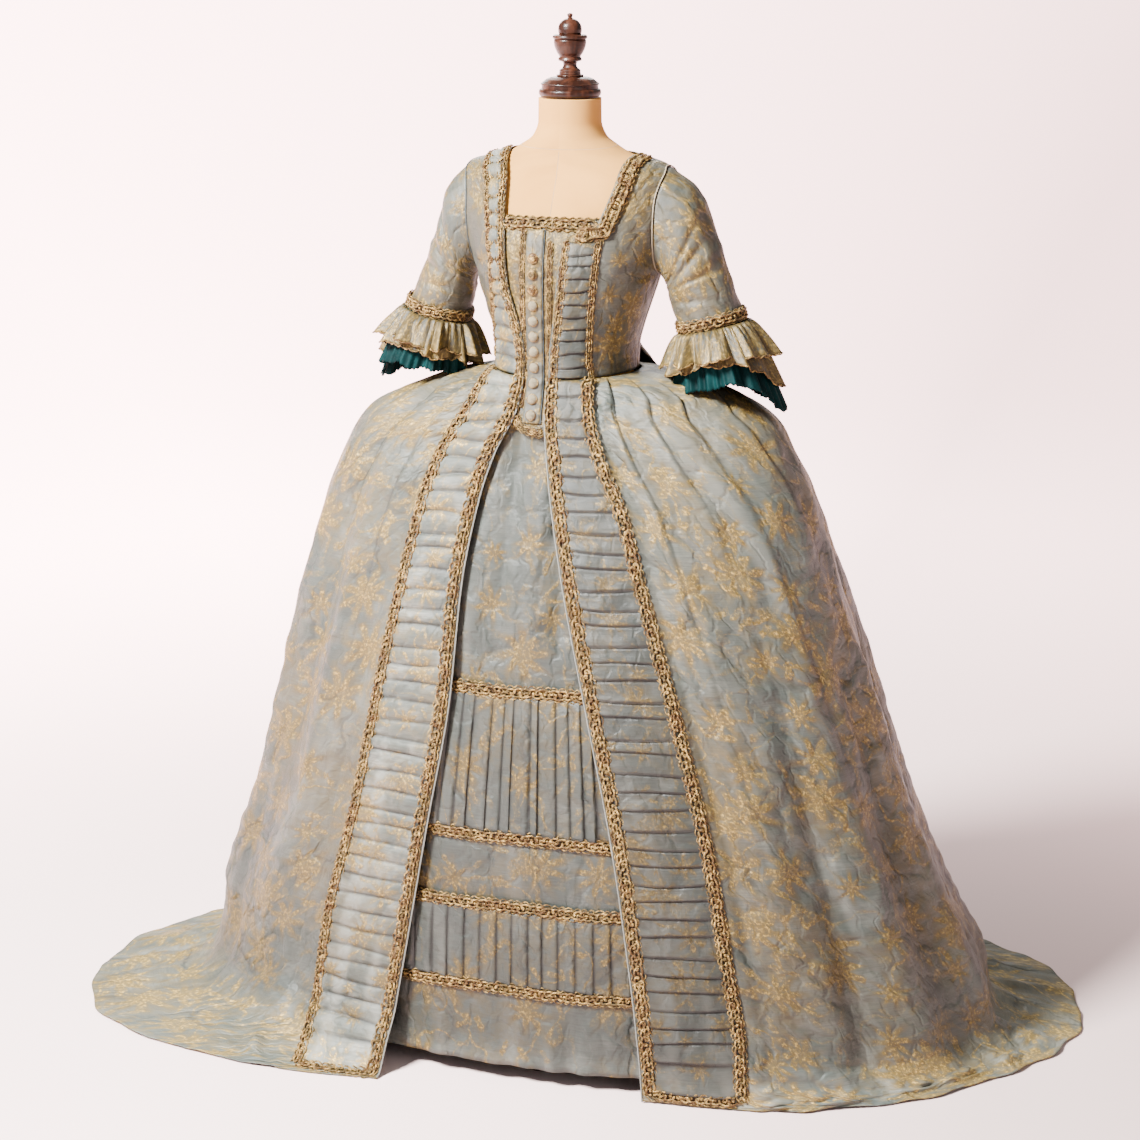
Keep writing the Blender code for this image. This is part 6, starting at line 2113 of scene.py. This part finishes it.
# drop in front, at the inside and at the outside of the arm, radius at its top
# and foot, depth of the waves and where they start, and its cut
RUFFLES = {
    "flounce_left": (0.05, 0.062, 0.11, 0.053, 0.08, 0.0075, 0.0, (0.74, 0.092)),
    "flounce_right": (0.048, 0.066, 0.082, 0.053, 0.077, 0.0075, 0.6, (0.7, 0.078)),
    "overlay_left": (0.041, 0.046, 0.062, 0.0555, 0.084, 0.0095, 1.4, (0.78, 0.056)),
    "overlay_right": (0.04, 0.048, 0.056, 0.0555, 0.081, 0.0095, 2.2, (0.74, 0.054)),
    "engageante_left": (0.085, 0.06, 0.15, 0.045, 0.074, 0.0045, 0.3, (0.6, 0.14)),
    "engageante_right": (0.08, 0.058, 0.128, 0.045, 0.07, 0.0045, 0.0, (0.56, 0.13)),
}
SCALLOP = 0.003


def cuff_sheet(turn, drop, radius, name):
    """Points round the end of the sleeve, dropped along the arm."""
    outer, inner = (point[0] for point in sleeve_points(np.array([1.0]), name))
    across = unit(outer - inner)
    down = np.array([across[2], 0, -across[0]])
    ring = np.cos(turn)[..., None] * across + np.sin(turn)[..., None] * (0, -1, 0)
    return (outer + inner) / 2 + down * drop[..., None] + ring * radius[..., None]


def ruffle(kind, side, name):
    waves, rows, columns, gathers, fine, finish, slot, seed = RUFFLE_KINDS[kind]
    front_drop, inner_drop, outer_drop, top, foot, depth, start, cut = RUFFLES[f"{kind}_{name}"]
    pleated = kind == "engageante"
    turn = np.linspace(0, math.tau, columns, endpoint=False)
    down = np.linspace(0, 1, rows)[:, None]

    def unrest(size, number):
        return rumple(np.cos(turn) * 0.2, np.sin(turn) * 0.2, size, seed + side + number)

    drop = inner_drop + (outer_drop - inner_drop) * (0.5 + 0.5 * np.cos(turn))
    drop = front_drop + (drop - front_drop) * np.clip(1 - np.sin(turn), 0, 1) ** 1.2
    drop = drop + 0.004 * unrest(0.14, 2)
    phase = waves * turn + start + 1.5 * unrest(0.22, 0)
    wave = depth * (np.cos(phase) + 0.35 * np.cos(2 * phase + 0.8)) * (1 + 0.45 * unrest(0.22, 0))
    small = fine * np.cos(gathers * turn + 0.7 * unrest(0.1, 1))
    keep = 0.45 + 0.55 * down if pleated else 1.0 - 0.85 * smooth_step(0.0, 0.8, down)
    radius = top + (foot - top) * down**0.7 + wave * down**0.6 + small * keep
    scallop = SCALLOP * (np.abs(np.sin(gathers * turn / (1 if pleated else 2))) - 0.5)
    points = cuff_sheet(turn + 0 * down, 0.0008 + (drop + scallop * down**4) * down, radius + 0.0001, name)
    # painted shade in the small gathers and in the troughs of the large waves
    painted_fold_shade = np.clip(-np.cos(gathers * turn), 0, 1) ** 2 * 0.75 * (1 - 0.8 * down)
    painted_fold_shade = painted_fold_shade + 0.65 * np.clip(-np.cos(phase), 0, 1) ** 2 * down**0.5
    girth = np.arange(columns) / columns * math.tau * foot * 1.5
    cloth = np.stack(np.broadcast_arrays(girth, drop * (1 - down)), axis=-1)
    if side > 0:
        cloth, painted_fold_shade = cloth[:, ::-1], painted_fold_shade[:, ::-1]
    grid = on_arm(points, side)
    node = None if kind == "overlay" else f"{kind}_{name}"
    cloth_piece(f"{kind}_cloth_{name}", node, grid, finish, cut,
                around=True, cloth=cloth, painted_fold_shade=painted_fold_shade, thickness=0.0006, area=cut[0] * cut[1] * 0.8)
    return grid


for side, name in SIDES:
    layers = [ruffle(kind, side, name) for kind in RUFFLE_KINDS]
    cords = []
    for grid in layers[:2]:
        hem = np.concatenate([grid[-1], grid[-1][:1]])
        place, up, across, at = evenly(hem, hem - hem.mean(axis=0), 0.0022)
        picot = place + up * 0.0006 + across * (0.0012 * np.abs(np.sin(at * math.pi / 0.009)))[:, None]
        cords.append(tube_points(picot, up, 0.0013, 4))
    merged(f"flounce_edge_{name}", cords, gold_gimp)

# %% Braid round the cuffs
CUFF_BRAID = (0.0165, 0.0112)

for side, name in SIDES:
    turn = np.linspace(0, math.tau, 120)
    ring = sleeve_ring(turn, np.full(120, 0.948), name)
    middle = ring[:-1].mean(axis=0)
    line = middle + (ring - middle) * 1.035
    flip = (side, 1, 1)
    worked_braid(f"braid_cuff_{name}", f"cuff_braid_{name}", line * flip, (line - middle) * flip, *CUFF_BRAID)
